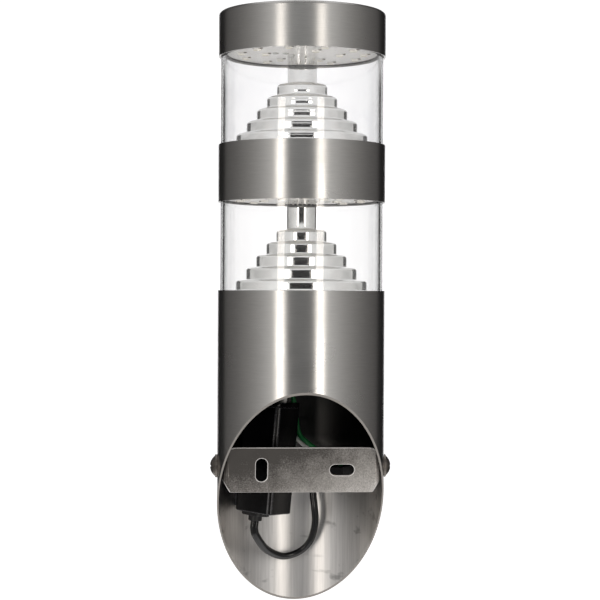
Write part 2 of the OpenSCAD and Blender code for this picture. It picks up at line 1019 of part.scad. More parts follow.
module earth_wire() {
    color("#1f7a3d")
        on_axis()
            wire(concat(
                [pole_point(2, block_z + block_h), pole_point(2, block_z + block_h + wire_turn_len)],
                earth_route,
                [[earth_x - barrel_reach, -earth_y, bulkhead_z - ring_t - barrel_len]]
            ), wire_d);
}

module output_wires() {
    color("#a33a30")
        on_axis()
            for (k = [0, 1])
                wire(concat(
                    [
                        driver_point([output_at[k][0], output_at[k][1], driver_len]),
                        driver_point([output_at[k][0], output_at[k][1], driver_len + feed_turn_len])
                    ],
                    output_routes[k],
                    [[-joint_x[k], -joint_y, band_z + board_recess]]
                ), feed_d);
}

module link_wires() {
    color("#a33a30")
        on_axis()
            for (k = [0, 1])
                wire(concat(
                    [[-joint_x[k], -link_joint_y, band_z + board_recess]],
                    link_routes[k],
                    [[joint_x[k], joint_y, cap_z + board_recess]]
                ), feed_d);
}

// The terminal block stands against the inside of the tube, behind the bracket
module at_block() {
    on_axis()
        rotate([0, 0, block_turn])
            translate([block_front, 0, block_z])
                children();
}

module clamp_places() {
    for (pole = [-1, 0, 1])
        translate([0, pole * pole_pitch, block_h / 2])
            children();
}

module terminal_block() {
    color(black)
        at_block()
            difference() {
                translate([0, -block_w / 2, 0])
                    cube([block_t, block_w, block_h]);
                clamp_places()
                    across(clamp_d / 2, -overrun, block_t * half);
            }
}

module terminal_screws() {
    color(bright_steel)
        at_block()
            clamp_places()
                difference() {
                    across(clamp_d / 2, clamp_sink, block_t * half);
                    translate([clamp_sink - overrun, -clamp_d, -recess_d / 4])
                        cube([overrun + recess_d / 2, 2 * clamp_d, recess_d / 2]);
                }
}

module terminal_pad() {
    color("#3a3a3c")
        intersection() {
            on_axis()
                translate([0, 0, block_z])
                    cylinder(r = inner_r, h = block_h);
            at_block()
                translate([block_t, -block_w * half * half, 0])
                    cube([block_t, block_w * half, block_h]);
        }
}

module earth_terminal() {
    barrel_d = wire_d * washer_share;
    color(bright_steel)
        on_axis()
            translate([earth_x, -earth_y, bulkhead_z - ring_t])
                union() {
                    difference() {
                        union() {
                            cylinder(d = ring_d, h = ring_t);
                            translate([-barrel_reach, -barrel_d / 2, 0])
                                cube([barrel_reach, barrel_d, ring_t]);
                        }
                        translate([0, 0, -overrun])
                            cylinder(r = earth_d / 2 + rod_gap, h = ring_t + 2 * overrun);
                    }
                    translate([-barrel_reach, 0, -barrel_len])
                        cylinder(d = barrel_d, h = barrel_len + ring_t);
                }
}

module earth_screw() {
    screw_head_d = 7;
    screw_head_h = 2.4;
    drive_w = 1;
    color("#c8b26a")
        on_axis()
            translate([earth_x, -earth_y, bulkhead_z - ring_t])
                difference() {
                    union() {
                        cylinder(d = earth_d, h = ring_t + bulkhead_t);
                        translate([0, 0, -screw_head_h])
                            cylinder(d = screw_head_d, h = screw_head_h);
                    }
                    translate([-screw_head_d, -drive_w / 2, -screw_head_h - overrun])
                        cube([2 * screw_head_d, drive_w, overrun + screw_head_h / 2]);
                }
}

// The bracket is bent from one strip: its front outline, its bent section and its ears' side outline meet
module front_outline() {
    low_x = ear_x - chamfer_w;
    high_x = ear_x - shoulder_w - corner_r;
    side = concat(
        [
            [low_x, -plate_below], [ear_x, chamfer_h - plate_below], [ear_x, shoulder_h],
            [ear_x - shoulder_w, plate_above - corner_r]
        ],
        corner(high_x, plate_above - corner_r, corner_r, 0, half_turn / 2)
    );
    mirrored = [for (k = [len(side) - 1:-1:0]) [-side[k][0], side[k][1]]];
    polygon(concat(side, mirrored));
}

module bent_section() {
    inner_bend = bend_r - plate_t;
    module u_shape(x, y, r) {
        union() {
            translate([-x, -2 * ear_r])
                square([2 * x, y - r + 2 * ear_r]);
            translate([-x + r, y - 2 * r])
                square([2 * (x - r), 2 * r]);
            for (side = [-1, 1])
                translate([side * (x - r), y - r])
                    circle(r = r);
        }
    }
    difference() {
        u_shape(ear_x, pivot_out, bend_r);
        u_shape(ear_x - plate_t, pivot_out - plate_t, inner_bend);
        translate([-ear_x + plate_t, -2 * ear_r - overrun])
            square([2 * (ear_x - plate_t), 2 * ear_r]);
    }
}

module side_outline() {
    union() {
        circle(r = ear_r);
        polygon([[0, -ear_r], [pivot_out, -neck_h], [pivot_out, neck_h], [0, ear_r]]);
        translate([pivot_out - plate_t, -plate_below])
            square([plate_t, plate_below + plate_above]);
    }
}

module slot() {
    rotate([-90, 0, 0])
        linear_extrude(height = plate_t + 2 * overrun)
            union() {
                square([slot_l - slot_w, slot_w], center = true);
                for (side = [-1, 1])
                    translate([side * (slot_l - slot_w) / 2, 0])
                        circle(d = slot_w);
            }
}

module wall_bracket() {
    slot_up = (plate_above - plate_below) / 2;
    slot_start = pivot_out - plate_t - overrun;
    color("#a5a3a0")
        at_screws()
            difference() {
                intersection() {
                    translate([0, pivot_out + overrun, 0])
                        rotate([90, 0, 0])
                            linear_extrude(height = pivot_out + 2 * ear_r + overrun)
                                front_outline();
                    translate([0, 0, -plate_below - overrun])
                        linear_extrude(height = plate_below + plate_above + 2 * overrun)
                            bent_section();
                    translate([-tube_r, 0, 0])
                        rotate([90, 0, 90])
                            linear_extrude(height = tube_d)
                                side_outline();
                }
                translate([slot_spacing / 2, slot_start, slot_up])
                    rotate([0, 90, 0])
                        slot();
                translate([-slot_spacing / 2, slot_start, slot_up])
                    slot();
                across(screw_d / 2 + screw_gap, -tube_r, tube_r);
            }
}

module bracket_nuts() {
    seat = ear_x - plate_t;
    flats_r = ear_nut_flats / 2 / cos(half_turn / hex_sides);
    color(bright_steel)
        at_screws()
            both_sides()
                difference() {
                    across(flats_r, seat - ear_nut_h, seat, hex_sides);
                    across(screw_d / 2 + pivot_gap, seat - ear_nut_h - overrun, seat + overrun);
                }
}

lower_tube();
middle_band();
top_cap();
lower_window();
upper_window();
lower_gaskets();
upper_gaskets();
lower_reflector();
upper_reflector();
lower_led_board();
upper_led_board();
lower_board_ring();
upper_board_ring();
lower_leds();
upper_leds();
lower_resistors();
upper_resistors();
lower_solder();
upper_solder();
tube_bulkhead();
band_carrier();
cap_carrier();
tie_rod();
tie_nuts();
tie_washer();
wire_grommets();
side_screws();
screw_washers();
driver_case();
driver_cover();
driver_pad();
driver_board();
driver_transformer();
driver_capacitors();
lead_gland();
driver_lead();
white_wire();
earth_wire();
output_wires();
link_wires();
terminal_block();
terminal_screws();
terminal_pad();
earth_terminal();
earth_screw();
wall_bracket();
bracket_nuts();
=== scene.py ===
import json
import math

import bmesh
import bpy
from mathutils import Matrix, Vector
from mathutils.bvhtree import BVHTree

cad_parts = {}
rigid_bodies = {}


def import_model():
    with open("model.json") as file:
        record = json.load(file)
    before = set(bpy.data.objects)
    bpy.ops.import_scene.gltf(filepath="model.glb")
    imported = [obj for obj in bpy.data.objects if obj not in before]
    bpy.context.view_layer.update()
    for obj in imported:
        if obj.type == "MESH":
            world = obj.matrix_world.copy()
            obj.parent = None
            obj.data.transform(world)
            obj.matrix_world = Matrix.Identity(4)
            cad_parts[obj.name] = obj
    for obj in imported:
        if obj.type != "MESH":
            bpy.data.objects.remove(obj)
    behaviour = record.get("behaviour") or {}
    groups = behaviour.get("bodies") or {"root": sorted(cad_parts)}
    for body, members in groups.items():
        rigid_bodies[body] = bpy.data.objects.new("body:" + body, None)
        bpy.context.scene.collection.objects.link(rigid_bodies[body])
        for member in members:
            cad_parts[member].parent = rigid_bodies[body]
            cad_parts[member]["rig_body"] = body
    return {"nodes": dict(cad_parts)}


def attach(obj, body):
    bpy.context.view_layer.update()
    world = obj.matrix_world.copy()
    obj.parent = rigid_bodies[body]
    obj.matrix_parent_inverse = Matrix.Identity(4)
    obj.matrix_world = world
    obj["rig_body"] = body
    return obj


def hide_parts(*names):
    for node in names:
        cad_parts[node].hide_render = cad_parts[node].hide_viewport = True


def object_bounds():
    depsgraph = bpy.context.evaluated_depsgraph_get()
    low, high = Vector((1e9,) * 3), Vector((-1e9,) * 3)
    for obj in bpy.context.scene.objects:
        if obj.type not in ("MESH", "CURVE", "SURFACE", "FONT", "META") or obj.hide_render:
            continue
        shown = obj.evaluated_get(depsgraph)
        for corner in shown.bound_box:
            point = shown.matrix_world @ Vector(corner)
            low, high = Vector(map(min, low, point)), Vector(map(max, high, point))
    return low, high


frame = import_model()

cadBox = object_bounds()
print("frame loaded:", len(frame["nodes"]), "nodes")

mm = 0.001
lean = math.radians(36.3)  # the tube leans out from the wall by this much
tubeTurn = Matrix.Rotation(lean, 4, "X")
alongTube = tubeTurn.to_3x3() @ Vector((0, 0, 1))


def onTube(place):
    # across, towards the wall and up the tube, in millimetres, to metres in the room
    return (tubeTurn @ Vector(place)) * mm


def newMesh(name, shape):
    mesh = bpy.data.meshes.new(name)
    shape.to_mesh(mesh)
    shape.free()
    return mesh


def newObject(name, data):
    made = bpy.data.objects.new(name, data)
    bpy.context.scene.collection.objects.link(made)
    return made


# Camera: long lens, behind the light, square to the tube

cameraSet = {
    "lens": 100.8,  # on a 36 mm wide frame
    "eye": (52, 764, 96),  # along the tube, mm
    "aim": (0.55, 0, 91.7),
    "roll": 0.27,  # degrees
}


def makeCamera(look):
    data = bpy.data.cameras.new("packshotCamera")
    data.lens, data.sensor_width = look["lens"], 36
    data.clip_start, data.clip_end = 0.05, 30
    camera = newObject("packshotCamera", data)
    eye, aim = onTube(look["eye"]), onTube(look["aim"])
    back = (eye - aim).normalized()
    right = alongTube.cross(back).normalized()
    up = back.cross(right)
    turned = Matrix((right, up, back)).transposed().to_4x4()
    camera.matrix_world = Matrix.Translation(eye) @ turned @ Matrix.Rotation(math.radians(look["roll"]), 4, "Z")
    bpy.context.scene.camera = camera


makeCamera(cameraSet)
print("camera set")


# Material tools

def hexColour(code):
    parts = [int(code[i:i + 2], 16) / 255 for i in (1, 3, 5)]
    return [p / 12.92 if p <= 0.04045 else ((p + 0.055) / 1.055) ** 2.4 for p in parts] + [1.0]


def addNode(tree, kind, settings={}, links={}):
    node = tree.nodes.new("ShaderNode" + kind)
    for key, value in settings.items():
        if key == "stops":  # colour ramp: place and shade of each stop
            stops = node.color_ramp.elements
            stops.remove(stops[-1])
            stops[0].position, stops[0].color = value[0][0], hexColour(value[0][1])
            for place, shade in value[1:]:
                stops.new(place).color = hexColour(shade)
        elif isinstance(key, int) or key in node.inputs:
            node.inputs[key].default_value = value
        else:
            setattr(node, key, value)
    for key, source in links.items():
        tree.links.new(source if isinstance(source, bpy.types.NodeSocket) else source.outputs[0], node.inputs[key])
    return node


def newMaterial(name, settings):
    # a Principled surface on its own output; settings are its own sockets
    material = bpy.data.materials.new(name)
    material.use_nodes = True
    tree = material.node_tree
    tree.nodes.clear()
    surface = addNode(tree, "BsdfPrincipled", settings)
    addNode(tree, "OutputMaterial", {}, {"Surface": surface})
    return material, tree, surface


def dress(tree, surface, sources):
    for socket, source in sources.items():
        tree.links.new(source.outputs[0], surface.inputs[socket])


def tubeMillimetres(tree, stretch=(1, 1, 1)):
    # place on the piece in millimetres along the tube, stretched for brushed lines
    place = addNode(tree, "TexCoord")
    turned = addNode(tree, "Mapping",
                     {"Rotation": (-lean, 0, 0), "Scale": (1000, 1000, 1000)}, {"Vector": place.outputs["Object"]})
    if stretch == (1, 1, 1):
        return turned.outputs[0]
    return addNode(tree, "VectorMath", {"operation": "MULTIPLY", 1: stretch}, {0: turned}).outputs[0]


# Stainless sleeve, belt-brushed round the tube outside: fine level lines and tall upright highlights.
# Inside it is as rolled, a little duller, with faint lines along the tube; its colour is painted paler than the
# outside's as painted light, and darker deeper in as painted shade. The cut is bare and rougher.
sleeveLook = {
    "outside": ("#b2b1af", "#bcbbb9"),
    # painted light: the inside of the same steel is painted paler, where the inner wall should catch more light
    "inside": ("#cfcdcb", "#e6e4e2"),
    "cutFace": "#a8a49f",
    "lineSpacing": 0.34,  # real grit 180 lines are 0.1 mm apart, drawn coarser so that they show
    "lineLength": 7,  # mm
    "rolledSpacing": 1.1,
    "rolledChange": 0.03,  # per mm along a rolled line
    "roughness": (0.27, 0.34),
    "insideRoughness": 0.43,  # as rolled: wider, softer highlights
    "stretch": 0.82,  # of the highlight, along the tube
    "film": (8, 28, 0.07),  # painted shade: the inside is darkened from 8 mm to 28 mm up the tube, down to this share
    "scuff": (5.0, 17.0, 0.6),  # rubs near the mouth: mm wide and long, and what is left of the shine there
    "scuffLean": 38,  # degrees from level
    "scuffLevel": (0.61, 0.74),  # noise between these is a rub's soft edge
    "wall": (37.35, 37.6),  # mm from the axis, between the inner and the outer face
    "cutFacing": (0.985, 0.998),  # how squarely a face looks at the wall to be the slanted cut
    "cutRoughness": 0.55,
    "lineDepth": 0.09,
}


def brushedSleeve(name, look):
    material, tree, surface = newMaterial(name, {"Metallic": 1.0, "Anisotropic": look["stretch"]})
    fine, long = 1 / look["lineSpacing"], 1 / look["lineLength"]
    lines = addNode(tree, "TexNoise", {"Scale": 1.0, "Detail": 3.0, "Roughness": 0.7},
                    {"Vector": tubeMillimetres(tree, (long, long, fine))})
    rolled = addNode(tree, "TexNoise", {"Scale": 1.0, "Detail": 4.0, "Roughness": 0.6},
                     {"Vector": tubeMillimetres(tree, (1 / look["rolledSpacing"], 1 / look["rolledSpacing"],
                                                       look["rolledChange"]))})
    clouds = addNode(tree, "TexNoise", {"Scale": 0.07, "Detail": 3.0}, {"Vector": tubeMillimetres(tree)})
    # distance from the tube's axis tells outside from inside
    flat = addNode(tree, "VectorMath", {"operation": "MULTIPLY", 1: (1, 1, 0)}, {0: tubeMillimetres(tree)})
    radius = addNode(tree, "VectorMath", {"operation": "LENGTH"}, {0: flat})
    outside = addNode(tree, "MapRange", {"From Min": look["wall"][0], "From Max": look["wall"][1]},
                      {"Value": radius.outputs["Value"]})
    outTone = addNode(tree, "ValToRGB", {"stops": [(0.3, look["outside"][0]), (0.72, look["outside"][1])]},
                      {"Fac": lines.outputs["Fac"]})
    inTone = addNode(tree, "ValToRGB", {"stops": [(0.3, look["inside"][0]), (0.7, look["inside"][1])]},
                     {"Fac": rolled.outputs["Fac"]})
    # painted shade deep inside the tube, and a few dark rubs on the wall near the mouth
    parts = addNode(tree, "SeparateXYZ", {}, {0: tubeMillimetres(tree)})
    film = addNode(tree, "MapRange", {"interpolation_type": "SMOOTHSTEP", "From Min": look["film"][0],
                                      "From Max": look["film"][1], "To Min": 1.0, "To Max": look["film"][2]},
                   {"Value": parts.outputs[2]})
    skewed = addNode(tree, "Mapping", {"Rotation": (0, math.radians(look["scuffLean"]), 0), "Scale": (
        1 / look["scuff"][1], 1 / look["scuff"][0], 1 / look["scuff"][0])}, {"Vector": tubeMillimetres(tree)})
    rubs = addNode(tree, "TexNoise", {"Scale": 1.0, "Detail": 2.5, "Roughness": 0.55}, {"Vector": skewed})
    rubbed = addNode(tree, "MapRange", {"From Min": look["scuffLevel"][0], "From Max": look["scuffLevel"][1],
                                        "To Min": 1.0, "To Max": look["scuff"][2]}, {"Value": rubs.outputs["Fac"]})
    dulled = addNode(tree, "Math", {"operation": "MULTIPLY"}, {0: film, 1: rubbed})
    shadedAndRubbed = addNode(tree, "VectorMath", {"operation": "SCALE"}, {0: inTone, "Scale": dulled})
    tone = addNode(tree, "Mix", {"data_type": "RGBA"}, {0: outside, 6: shadedAndRubbed, 7: outTone})
    # the slanted cut looks at the wall, so its normal tells it from the rest
    shape = addNode(tree, "NewGeometry")
    facing = addNode(tree, "VectorMath", {"operation": "DOT_PRODUCT", 1: (0, 1, 0)}, {0: shape.outputs["Normal"]})
    cut = addNode(tree, "MapRange", {"From Min": look["cutFacing"][0], "From Max": look["cutFacing"][1]},
                  {"Value": facing.outputs["Value"]})
    edged = addNode(tree, "Mix", {"data_type": "RGBA", 7: hexColour(look["cutFace"])}, {0: cut, 6: tone.outputs[2]})
    tree.links.new(edged.outputs[2], surface.inputs["Base Color"])
    satin = addNode(tree, "MapRange",
                    {"From Min": 0.3, "From Max": 0.75, "To Min": look["roughness"][0], "To Max": look["roughness"][1]},
                    {"Value": clouds.outputs["Fac"]})
    sided = addNode(tree, "Mix", {"data_type": "FLOAT", 2: look["insideRoughness"]}, {0: outside, 3: satin})
    sawn = addNode(tree, "Mix", {"data_type": "FLOAT", 3: look["cutRoughness"]}, {0: cut, 2: sided})
    tree.links.new(sawn.outputs[0], surface.inputs["Roughness"])
    height = addNode(tree, "Mix", {"data_type": "FLOAT"},
                     {0: outside, 2: rolled.outputs["Fac"], 3: lines.outputs["Fac"]})
    bump = addNode(tree, "Bump", {"Strength": look["lineDepth"], "Distance": 0.00002}, {"Height": height})
    tree.links.new(bump.outputs[0], surface.inputs["Normal"])
    # the highlight is drawn out across the brushed lines, so along the tube
    along = addNode(tree, "CombineXYZ", {"X": 0.03, "Y": -math.sin(lean), "Z": math.cos(lean)})
    tree.links.new(along.outputs[0], surface.inputs["Tangent"])
    return material


# Sheet, screw and casting metals: one recipe, each with its own real finish
plainMetals = {
    # stainless cap screws, tumbled: even satin with faint scuffs, darker than the sleeve
    "tumbledScrewSteel": {"shades": ("#5f5a56", "#8d8781"), "grain": 0.7, "roughness": (0.3, 0.45), "bump": 0.25},
    # bright zinc plate on turned steel: pale, faintly cloudy, smooth
    "zincPlatedSteel": {"shades": ("#a7a6a2", "#cfcecb"), "grain": 2.0, "roughness": (0.2, 0.34), "bump": 0.1},
    # die-cast aluminium, turned where it seats: pale grey, fine pits
    "diecastAluminium": {"shades": ("#a3a4a6", "#c6c7c9"), "grain": 0.9, "roughness": (0.32, 0.48), "bump": 0.4},
    # solder, cooled slowly: dull silver with a wrinkled skin
    "cooledSolder": {"shades": ("#a9aaa7", "#d2d2cd"), "grain": 0.5, "roughness": (0.25, 0.45), "bump": 0.5},
    # brass clamp screws, turned: warm, bright, lightly scored
    "turnedBrass": {"shades": ("#b18c4d", "#d6b877"), "grain": 0.6, "roughness": (0.18, 0.32), "bump": 0.2},
    # sheared edge of the plated sheet: bare and torn in short lines, so it scatters light as a pale matt surface does;
    # its near-white colour is partly bare steel and partly a painted highlight
    "shearedEdge": {"shades": ("#dedbd7", "#faf7f3"), "grain": 0.35,
                    "roughness": (0.36, 0.5), "bump": 0.3, "metal": 0.4},
    # tinned copper where a wire is stripped
    "tinnedCopper": {"shades": ("#b9b4ab", "#dcd8d0"), "grain": 0.3, "roughness": (0.2, 0.35), "bump": 0.2},
}


def plainMetal(name, look):
    material, tree, surface = newMaterial(name, {"Metallic": look.get("metal", 1.0)})
    grain = addNode(tree, "TexNoise", {"Scale": 1 / look["grain"], "Detail": 4.0, "Roughness": 0.6},
                    {"Vector": tubeMillimetres(tree)})
    clouds = addNode(tree, "TexNoise", {"Scale": 0.22, "Detail": 2.0}, {"Vector": tubeMillimetres(tree)})
    mixed = addNode(tree, "Math", {"operation": "MULTIPLY_ADD", 1: 0.45},
                    {0: grain.outputs["Fac"], 2: addNode(tree, "Math", {"operation": "MULTIPLY", 1: 0.55},
                                                         {0: clouds.outputs["Fac"]})})
    tone = addNode(tree, "ValToRGB", {"stops": [(0.34, look["shades"][0]), (0.64, look["shades"][1])]}, {"Fac": mixed})
    rough = addNode(tree, "MapRange", {"From Min": 0.35, "From Max": 0.65, "To Min": look["roughness"][0],
                                       "To Max": look["roughness"][1]}, {"Value": clouds.outputs["Fac"]})
    bump = addNode(tree, "Bump", {"Strength": look["bump"], "Distance": 0.00004}, {"Height": grain.outputs["Fac"]})
    dress(tree, surface, {"Base Color": tone, "Roughness": rough, "Normal": bump})
    return material


# Mild steel sheet, zinc-plated in a barrel and rubbed: dull, with fine bright and dark specks and soft clouds,
# and painted light: brighter towards the camera's right and downwards
sheetLook = {
    "shades": ("#5d5a57", "#94908c", "#c2beb9", "#f2eeea"),
    "speck": 0.6,  # mm across, real ones about 0.2
    "cloud": 9,
    "rubbedSide": (-0.0052, 0, -0.014),  # painted light: brighter towards the camera's right and downwards, per mm
    "roughness": (0.34, 0.5),
    "speckShare": 0.58,  # specks against clouds
    "lift": 0.13,  # of the whole plate towards the paler shades
    "bump": 0.35,
}


def zincSpeckledSheet(name, look):
    material, tree, surface = newMaterial(name, {"Metallic": 1.0})
    specks = addNode(tree, "TexNoise", {"Scale": 1 / look["speck"], "Detail": 3.0, "Roughness": 0.7},
                     {"Vector": tubeMillimetres(tree)})
    clouds = addNode(tree, "TexNoise", {"Scale": 1 / look["cloud"], "Detail": 5.0, "Roughness": 0.62},
                     {"Vector": tubeMillimetres(tree)})
    # painted light: the plate is brightened along one slope, towards the camera's right and downwards
    side = addNode(tree, "VectorMath", {"operation": "DOT_PRODUCT", 1: look["rubbedSide"]}, {0: tubeMillimetres(tree)})
    both = addNode(tree, "Mix", {"data_type": "FLOAT", 0: look["speckShare"]},
                   {2: clouds.outputs["Fac"], 3: specks.outputs["Fac"]})
    lit = addNode(tree, "Math", {"operation": "ADD"}, {0: both, 1: side.outputs["Value"]})
    level = addNode(tree, "Math", {"operation": "ADD", 1: look["lift"]}, {0: lit})
    tone = addNode(tree, "ValToRGB", {"stops": list(zip((0.3, 0.46, 0.62, 0.8), look["shades"]))}, {"Fac": level})
    rough = addNode(tree, "MapRange", {"From Min": 0.35, "From Max": 0.65, "To Min": look["roughness"][1],
                                       "To Max": look["roughness"][0]}, {"Value": both})
    bump = addNode(tree, "Bump", {"Strength": look["bump"], "Distance": 0.00004}, {"Height": both})
    dress(tree, surface, {"Base Color": tone, "Roughness": rough, "Normal": bump})
    return material


# Vacuum-metallised ABS: a near mirror over moulded plastic, very slightly wavy
# The upper one's coat has dulled to a paler white, but its skin is as smooth.
mirrorLooks = {
    "metallisedPlastic": {"shades": ("#e9e9e8", "#f7f7f6"), "wave": 9, "roughness": (0.02, 0.06)},
    "dulledMetallised": {"shades": ("#efefee", "#fafaf9"), "wave": 8, "roughness": (0.015, 0.04)},
}


def metallisedPlastic(name, look):
    material, tree, surface = newMaterial(name, {"Metallic": 1.0})
    waves = addNode(tree, "TexNoise", {"Scale": 1 / look["wave"], "Detail": 2.0}, {"Vector": tubeMillimetres(tree)})
    dust = addNode(tree, "TexNoise", {"Scale": 1.4, "Detail": 4.0, "Roughness": 0.7}, {"Vector": tubeMillimetres(tree)})
    tone = addNode(tree, "ValToRGB", {"stops": [(0.35, look["shades"][0]), (0.65, look["shades"][1])]},
                   {"Fac": waves.outputs["Fac"]})
    rough = addNode(tree, "MapRange", {"From Min": 0.4, "From Max": 0.7, "To Min": look["roughness"][0],
                                       "To Max": look["roughness"][1]}, {"Value": dust.outputs["Fac"]})
    bump = addNode(tree, "Bump", {"Strength": 0.12, "Distance": 0.0001}, {"Height": waves.outputs["Fac"]})
    dress(tree, surface, {"Base Color": tone, "Roughness": rough, "Normal": bump})
    return material


# Extruded acrylic tube, polished: clear, and dark only in thin lines where it is seen edge on. The upper one was
# handled more, so it is a touch hazier.
acrylicLooks = {
    "clearAcrylic": {"tints": ("#fdfdfd", "#ffffff"), "haze": (0.0, 0.015), "clear": 0.985},
    "handledAcrylic": {"tints": ("#fafafb", "#ffffff"), "haze": (0.0, 0.025), "clear": 0.975},
}


def clearAcrylic(name, look):
    material, tree, surface = newMaterial(name, {"IOR": 1.49, "Transmission Weight": look["clear"]})
    haze = addNode(tree, "TexNoise", {"Scale": 0.12, "Detail": 3.0}, {"Vector": tubeMillimetres(tree)})
    rough = addNode(tree, "MapRange", {"From Min": 0.4, "From Max": 0.7, "To Min": look["haze"][0],
                                       "To Max": look["haze"][1]}, {"Value": haze.outputs["Fac"]})
    tint = addNode(tree, "ValToRGB", {"stops": list(zip((0.3, 0.7), look["tints"]))}, {"Fac": haze.outputs["Fac"]})
    dress(tree, surface, {"Base Color": tint, "Roughness": rough})
    return material


# Everything moulded, coated or extruded: shade, gloss and grain of each
plainPlastics = {
    # white solder mask on an aluminium board: chalky white, a little glossy, faint tracks under it
    "whiteSolderMask": {"shades": ("#f6f5f2", "#fdfcfa"), "grain": 2.4, "roughness": (0.3, 0.45), "bump": 0.06},
    # glass-fibre board with green solder mask: deep green, glossy
    "greenSolderMask": {"shades": ("#0e4a26", "#1b6a38"), "grain": 1.6, "roughness": (0.25, 0.4), "bump": 0.1},
    # moulded ABS, glossy tool: near black, smooth with a slight orange skin
    "glossyBlackPlastic": {"shades": ("#050506", "#0b0b0d"), "grain": 1.1,
                           "roughness": (0.12, 0.22), "bump": 0.08, "shine": 0.16},
    # the same ABS on its rounded edges, painted paler as a painted highlight, still glossy
    "rubbedBlackEdge": {"shades": ("#262628", "#38383a"), "grain": 0.8, "roughness": (0.2, 0.3), "bump": 0.1},
    # glass-filled nylon, moulded: black, flat sheen
    "mouldedBlackNylon": {"shades": ("#0b0b0c", "#151516"), "grain": 0.5,
                          "roughness": (0.36, 0.5), "bump": 0.3, "shine": 0.35},
    # soft PVC jacket, extruded: black with a low oily gloss
    "extrudedBlackJacket": {"shades": ("#040404", "#0a0a0b"), "grain": 1.3,
                            "roughness": (0.13, 0.22), "bump": 0.1, "shine": 0.42},
    # thick film resistor: fired glaze, grey where the light catches it
    "firedBlackGlaze": {"shades": ("#55524e", "#7a766f"), "grain": 0.3, "roughness": (0.3, 0.45), "bump": 0.1},
    # EPDM seal, moulded: flat black with dust
    "mouldedSealRubber": {"shades": ("#141415", "#262627"), "grain": 0.8, "roughness": (0.62, 0.8), "bump": 0.3},
    # polyester tape over the winding: amber, semi-gloss, wrapped in bands
    "amberFilmTape": {"shades": ("#c08d1c", "#e0b23a"), "grain": 2.2, "roughness": (0.28, 0.4), "bump": 0.2},
    # heat-shrunk sleeve: dark blue, tight and glossy
    "shrunkBlueSleeve": {"shades": ("#152a4a", "#20406c"), "grain": 1.5, "roughness": (0.2, 0.32), "bump": 0.12},
    # PVC insulation, extruded: even colour, soft gloss
    **{name: {"shades": shades, "grain": 1.2, "roughness": (0.34, 0.45), "bump": 0.08} for name, shades in (
        ("whiteInsulation", ("#dfded9", "#f0efea")), ("greenInsulation", ("#0d5a2b", "#158040")),
        ("redInsulation", ("#8e1712", "#b3221b")), ("blackInsulation", ("#0e0e0f", "#1b1b1c")))},
    # white ceramic-filled LED frame, moulded: flat white
    "whiteLedFrame": {"shades": ("#ecebe6", "#f8f7f3"), "grain": 0.6, "roughness": (0.35, 0.5), "bump": 0.05},
    # silicone filled with phosphor: pale warm yellow, glossy
    "phosphorSilicone": {"shades": ("#e9dcae", "#f5ecc9"), "grain": 0.35, "roughness": (0.18, 0.3), "bump": 0.06},
}


def plainPlastic(name, look):
    material, tree, surface = newMaterial(name, {"IOR": 1.5, "Specular IOR Level": look.get("shine", 0.5)})
    clouds = addNode(tree, "TexNoise", {"Scale": 0.35, "Detail": 3.0}, {"Vector": tubeMillimetres(tree)})
    grain = addNode(tree, "TexNoise", {"Scale": 1 / look["grain"], "Detail": 4.0, "Roughness": 0.6},
                    {"Vector": tubeMillimetres(tree)})
    tone = addNode(tree, "ValToRGB", {"stops": [(0.3, look["shades"][0]), (0.7, look["shades"][1])]},
                   {"Fac": clouds.outputs["Fac"]})
    rough = addNode(tree, "MapRange", {"From Min": 0.3, "From Max": 0.7, "To Min": look["roughness"][0],
                                       "To Max": look["roughness"][1]}, {"Value": grain.outputs["Fac"]})
    bump = addNode(tree, "Bump", {"Strength": look["bump"], "Distance": 0.00004}, {"Height": grain.outputs["Fac"]})
    dress(tree, surface, {"Base Color": tone, "Roughness": rough, "Normal": bump})
    return material


# Closed-cell PE foam tape: charcoal, flat, with open cut cells
foamLook = {"cell": 0.6, "shades": ("#1d1d1f", "#454548")}  # cells in mm across


def foamTape(name, look):
    material, tree, surface = newMaterial(name, {"IOR": 1.45})
    cells = addNode(tree, "TexVoronoi", {"Scale": 1 / look["cell"]}, {"Vector": tubeMillimetres(tree)})
    tone = addNode(tree, "ValToRGB", {"stops": list(zip((0.05, 0.6), look["shades"]))},
                   {"Fac": cells.outputs["Distance"]})
    rough = addNode(tree, "MapRange", {"To Min": 0.95, "To Max": 0.75}, {"Value": cells.outputs["Distance"]})
    bump = addNode(tree, "Bump", {"Strength": 0.6, "Distance": 0.0003}, {"Height": cells.outputs["Distance"]})
    dress(tree, surface, {"Base Color": tone, "Roughness": rough, "Normal": bump})
    return material


sleeveSteel = brushedSleeve("brushedSleeveSteel", sleeveLook)
# band and cap are pressed from the same steel; they get no painted shade inside and no rubs
capSteel = brushedSleeve("brushedCapSteel", {**sleeveLook, "film": (8, 28, 1.0), "scuff": (5.0, 17.0, 1.0),
                                             "inside": ("#b0aeac", "#c6c4c2")})
zincSheet = zincSpeckledSheet("zincSpeckledSheet", sheetLook)
mirrorCoats = {name: metallisedPlastic(name, look) for name, look in mirrorLooks.items()}
acrylic = {name: clearAcrylic(name, look) for name, look in acrylicLooks.items()}
foam = foamTape("closedCellFoam", foamLook)
finish = {name: plainMetal(name, look) for name, look in plainMetals.items()}
finish.update({name: plainPlastic(name, look) for name, look in plainPlastics.items()})
print("materials made:", len([sleeveSteel, capSteel, zincSheet, foam]) + len(acrylic) + len(mirrorCoats) + len(finish))

